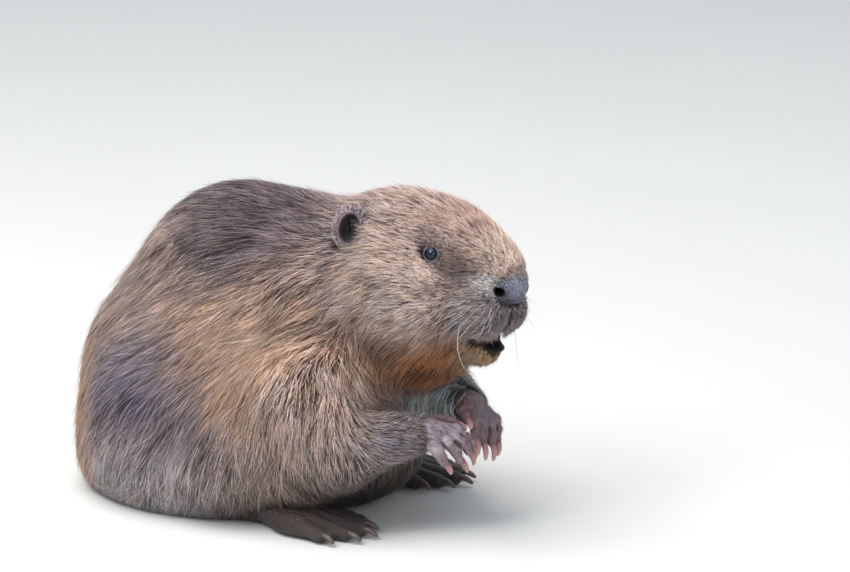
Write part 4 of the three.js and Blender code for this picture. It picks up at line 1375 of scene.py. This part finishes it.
def down(name, where, count, seed, way, cut):
    """A panel of down, all of it cut to one length and width."""
    cut = np.array(cut, np.float32)
    panel(name, where, count, seed, on_hide, lambda p: (way(p), np.tile(cut, (len(p), 1))))


def near(at, reach):
    return within(middle, on_side(at, RIGHT), reach) | within(middle, on_side(at, LEFT), reach)


outs = steepest(hide, middle_single)
backs = np.zeros(len(middle), bool)
in_cup = np.zeros(len(middle), bool)
for s in SIDES:
    joints, ups = zip(*fingers(s))
    digits = np.min([limb(middle, ARMS[s][2], j[1], 13, 7) for j in joints[1:]], 0)
    backs |= (digits < 3) & (outs @ ups[0] > 0.25)
    foot_top = ball(middle, WEB[0] * MIRROR[s], (50, 50, 30)) < 0
    backs |= foot_top & (outs[:, 2] > 0.5) & (middle[:, 0] < 100)
    axes = outward(EAR_FACES, s)
    from_ear = middle - on_side(EAR_AT, s)
    in_cup |= ball(from_ear, axes[0] * 6, EAR_HOLLOW + 0.5, axes) < 0
on_ears = near(EAR_AT, 24) & ~in_cup & (bald(middle_single) > 0.3)
nose_top = (nose_pad(middle) < 1.5) & (q[:, 2] > -8) & (q[:, 0] > 48)
brows = near(EYE_AT, 12) & ((middle - on_head(*EYE_AT)) @ HEAD[2] > 3.4)
down("coat_ears", on_ears, 6500, 41, off_ear, (4.2, 0.40))
down("coat_nose", nose_top, 900, 44, up_nose, (2.6, 0.24))
down("coat_brows", brows, 900, 42, over_brow, (3.4, 0.30))
down("coat_hands", backs, 2600, 43, along_fingers, (4.6, 0.26))

# The whiskers: stiff pale bristles in rows on the muzzle, swept back and drooping. Each is a
# thin tapered rod set in the skin; the longest two on each side are placed one by one.
def drawn_tubes(name, lines, widths, ups, flat=1.0, sides=6):
    """Closed rods along lines of places, each with a width at every place, flatter by a share."""
    verts, faces, start = [], [], 0
    for line, width, up in zip(lines, widths, ups):
        line, width = np.asarray(line, float), np.asarray(width, float)
        ahead = np.gradient(line, axis=0)
        ahead /= np.linalg.norm(ahead, axis=1)[:, None]
        across = np.cross(ahead, up)
        across /= np.linalg.norm(across, axis=1)[:, None]
        above = np.cross(across, ahead)
        turn = np.arange(sides) * 2 * math.pi / sides
        ring = (
            line[1:-1, None]
            + across[1:-1, None] * (np.cos(turn) * width[1:-1, None] / 2)[:, :, None]
            + above[1:-1, None] * (np.sin(turn) * width[1:-1, None] / 2 * flat)[:, :, None]
        )
        rings = len(line) - 2
        verts += [line[:1], ring.reshape(-1, 3), line[-1:]]
        last = start + 1 + (rings - 1) * sides
        for i in range(sides):
            j = (i + 1) % sides
            faces.append((start, start + 1 + j, start + 1 + i))
            for k in range(rings - 1):
                a, b = start + 1 + k * sides + i, start + 1 + k * sides + j
                faces += [(a, b, a + sides), (b, b + sides, a + sides)]
            faces.append((last + i, last + j, start + 1 + rings * sides))
        start += rings * sides + 2
    return meshed(name, np.concatenate(verts), np.array(faces))


def bend(points, count):
    """A smooth line through four guide places."""
    a, b, c, d = (np.array(x, float) for x in points)
    t = np.linspace(0, 1, count)[:, None]
    return a * (1 - t) ** 3 + 3 * b * t * (1 - t) ** 2 + 3 * c * t * t * (1 - t) + d * t**3


WHISKER_STOPS = 11
WHISKER_TAPER = 1 - np.linspace(0, 1, WHISKER_STOPS) ** 1.5 * 0.8
LONG_WHISKERS = (
    ([(42, -31, -40), (44, -41, -58), (50, -44, -82), (68, -28, -92)], 0.55),
    ([(40, -32, -46), (30, -44, -56), (20, -56, -70), (16, -60, -90)], 0.32),
)
draw = np.random.default_rng(61)
lines, widths, ups = [], [], []
for s in SIDES:
    for guide, thick in LONG_WHISKERS:
        lines.append(bend([on_side(g, -s) for g in guide], WHISKER_STOPS))
        widths.append(thick * WHISKER_TAPER)
        ups.append(HEAD[0])
    for row in range(3):
        for k in range(6):
            at = np.array((60 - 3.6 * k + row, 21 + 1.6 * k - row, -30 - 5.2 * row - 0.6 * k))
            long = draw.uniform(18, 30) * (0.8 + 0.08 * k)
            way = unit((0.75 - 0.2 * k, 1.0, 0.12 - 0.25 * row))
            guide = (
                at - way * 2,
                at + way * long * 0.4,
                at + way * long * 0.75 + (0, 0, -3),
                at + way * long + (-3, 0, -long * 0.35),
            )
            lines.append(bend([on_side(g, s) for g in guide], WHISKER_STOPS))
            widths.append(draw.uniform(0.28, 0.42) * WHISKER_TAPER)
            ups.append(HEAD[2])
whiskers = placed("whiskers", drawn_tubes("whiskers", lines, widths, ups))
whisker_finish, tree, shader = finish_of("whisker", roughness=0.4, specular=0.4)
mottled(tree, shader, one_tone(tree, tone(226, 218, 208)), 300, 2, 0.8, 1.1)
whiskers.data.materials.append(whisker_finish)
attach(whiskers, "root")

# The claws: solid horn, pinkish on the hands and dark on the feet, arched and blunt. Each is
# a flattened rod with its root held in the fingertip or toe.
CLAW_WIDTH = 6.0
CLAW_SIDES = 12
CLAW_ARCH = 0.13
CLAW_STOPS = np.array((-0.2, -0.15, 0.1, 0.35, 0.6, 0.8, 0.94, 1.0))
CLAW_SHARES = np.array((0, 0.86, 1.0, 0.97, 0.88, 0.72, 0.46, 0))
claw_finish, tree, shader = finish_of("claw_horn", roughness=0.36, specular=0.45, coat=0.1)
mottled(tree, shader, own_tone(tree), 600, 3, 0.8, 1.15)
raised(tree, shader, grain(tree, 1500, 2, object_place(tree)), 0.00015)
CLAW_ROOT, CLAW_TIP = tone(126, 84, 88), tone(198, 152, 150)
FOOT_CLAW = tone(70, 58, 54)


def claws(name, ends, width, shades, nodes):
    """The claws of one hand or foot, from each one's root, tip and upper side."""
    lines, widths, ups = [], [], []
    for base, tip, up in ends:
        along = tip - base
        rise = np.sin(np.pi * np.clip(CLAW_STOPS, 0, 1)) * np.linalg.norm(along) * CLAW_ARCH
        lines.append(base + CLAW_STOPS[:, None] * along + rise[:, None] * up)
        widths.append(width * CLAW_SHARES)
        ups.append(up)
    mesh = drawn_tubes(name, lines, widths, ups, flat=0.8, sides=CLAW_SIDES)
    along = np.concatenate(([0], np.repeat(CLAW_STOPS[1:-1], CLAW_SIDES), [1]))
    share = np.tile(np.clip(along, 0, 1), len(ends))
    paint(mesh, blended(np.tile(shades[0], (len(share), 1)), shades[1], share**0.8))
    mesh.materials.append(claw_finish)
    piece = placed(name, mesh)
    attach(piece, "root")
    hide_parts(*nodes)


for s, side in NAMED_SIDES:
    ends = []
    for (_, _, tip, claw_tip), up in fingers(s):
        along = unit(claw_tip - tip)
        over = unit(up - (up @ along) * along)
        ends.append((tip + over * 0.6, claw_tip + over * 0.2, over))
    names = [f"fore_claw_{side}_{i + 1}" for i in range(5)]
    claws(f"fore_claws_{side}", ends, CLAW_WIDTH, (CLAW_ROOT, CLAW_TIP), names)
    ends = []
    for x, across in TOES:
        start = np.array((58, (84 + across * 0.35) * s, 0))
        end = np.array((x, (86 + across) * s, 0))
        ahead = unit(end - start)
        above = np.array((0, 0, 1.0))
        ends.append((end + (0, 0, 8) + ahead * 2, end + (0, 0, 3.2) + ahead * 17, above))
    names = [f"hind_claw_{side}_{i + 1}" for i in range(5)]
    claws(f"hind_claws_{side}", ends, CLAW_WIDTH * 1.1, (FOOT_CLAW, FOOT_CLAW * 1.6), names)

# The eyes: solid globes of dark polished glass, set deep between the lids. Round the black
# pupil is a ring of very dark brown.
eye_finish, tree, shader = finish_of("eye", roughness=0.06, specular=0.8)
# a painted reflection colour: the blue specular tint makes the eyes reflect the pale studio as
# blue
shader.inputs["Specular Tint"].default_value = (0.42, 0.64, 1.0, 1)
mottled(tree, shader, own_tone(tree), 2500, 2, 0.7, 1.2)
EYE_RINGS, EYE_ROUND = 40, 48
PUPIL, IRIS = 2.6, 4.6
PUPIL_TONE, IRIS_TONE = tone(8, 7, 8), tone(20, 15, 14)
for s, side in NAMED_SIDES:
    at, axes = on_side(EYE_AT, s), outward(EYE_LOOKS, s)
    down_from_front = np.linspace(0, math.pi, EYE_RINGS + 1)[1:-1, None, None]
    turn = (np.arange(EYE_ROUND) * 2 * math.pi / EYE_ROUND)[:, None]
    ring = np.cos(turn) * axes[1] + np.sin(turn) * axes[2]
    ring = np.cos(down_from_front) * axes[0] + np.sin(down_from_front) * ring
    verts = at + EYE_RADIUS * np.concatenate((axes[:1], ring.reshape(-1, 3), -axes[:1]))
    faces = []
    last = 1 + (EYE_RINGS - 2) * EYE_ROUND
    for i in range(EYE_ROUND):
        j = (i + 1) % EYE_ROUND
        faces.append((0, 1 + i, 1 + j))
        for k in range(EYE_RINGS - 2):
            a, b = 1 + k * EYE_ROUND + i, 1 + k * EYE_ROUND + j
            faces += [(a, a + EYE_ROUND, b), (b, a + EYE_ROUND, b + EYE_ROUND)]
        faces.append((last + i, len(verts) - 1, last + j))
    faces = np.array(faces)
    a, b, c = (verts[faces[:, i]] for i in range(3))
    inward = (np.cross(b - a, c - a) * ((a + b + c) / 3 - at)).sum(1) < 0
    faces[inward] = faces[inward][:, ::-1]
    off_axis = np.linalg.norm(np.cross((verts - at), axes[0]), axis=1)
    brown = np.clip((off_axis - PUPIL) / 0.4, 0, 1) * np.clip((IRIS - off_axis) / 0.5, 0, 1)
    globe = meshed(f"eye_{side}", verts, faces)
    paint(globe, blended(np.tile(PUPIL_TONE, (len(verts), 1)), IRIS_TONE, brown))
    globe.materials.append(eye_finish)
    eye = placed(f"eye_globe_{side}", globe)
    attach(eye, "root")
    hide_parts(f"eye_{side}")
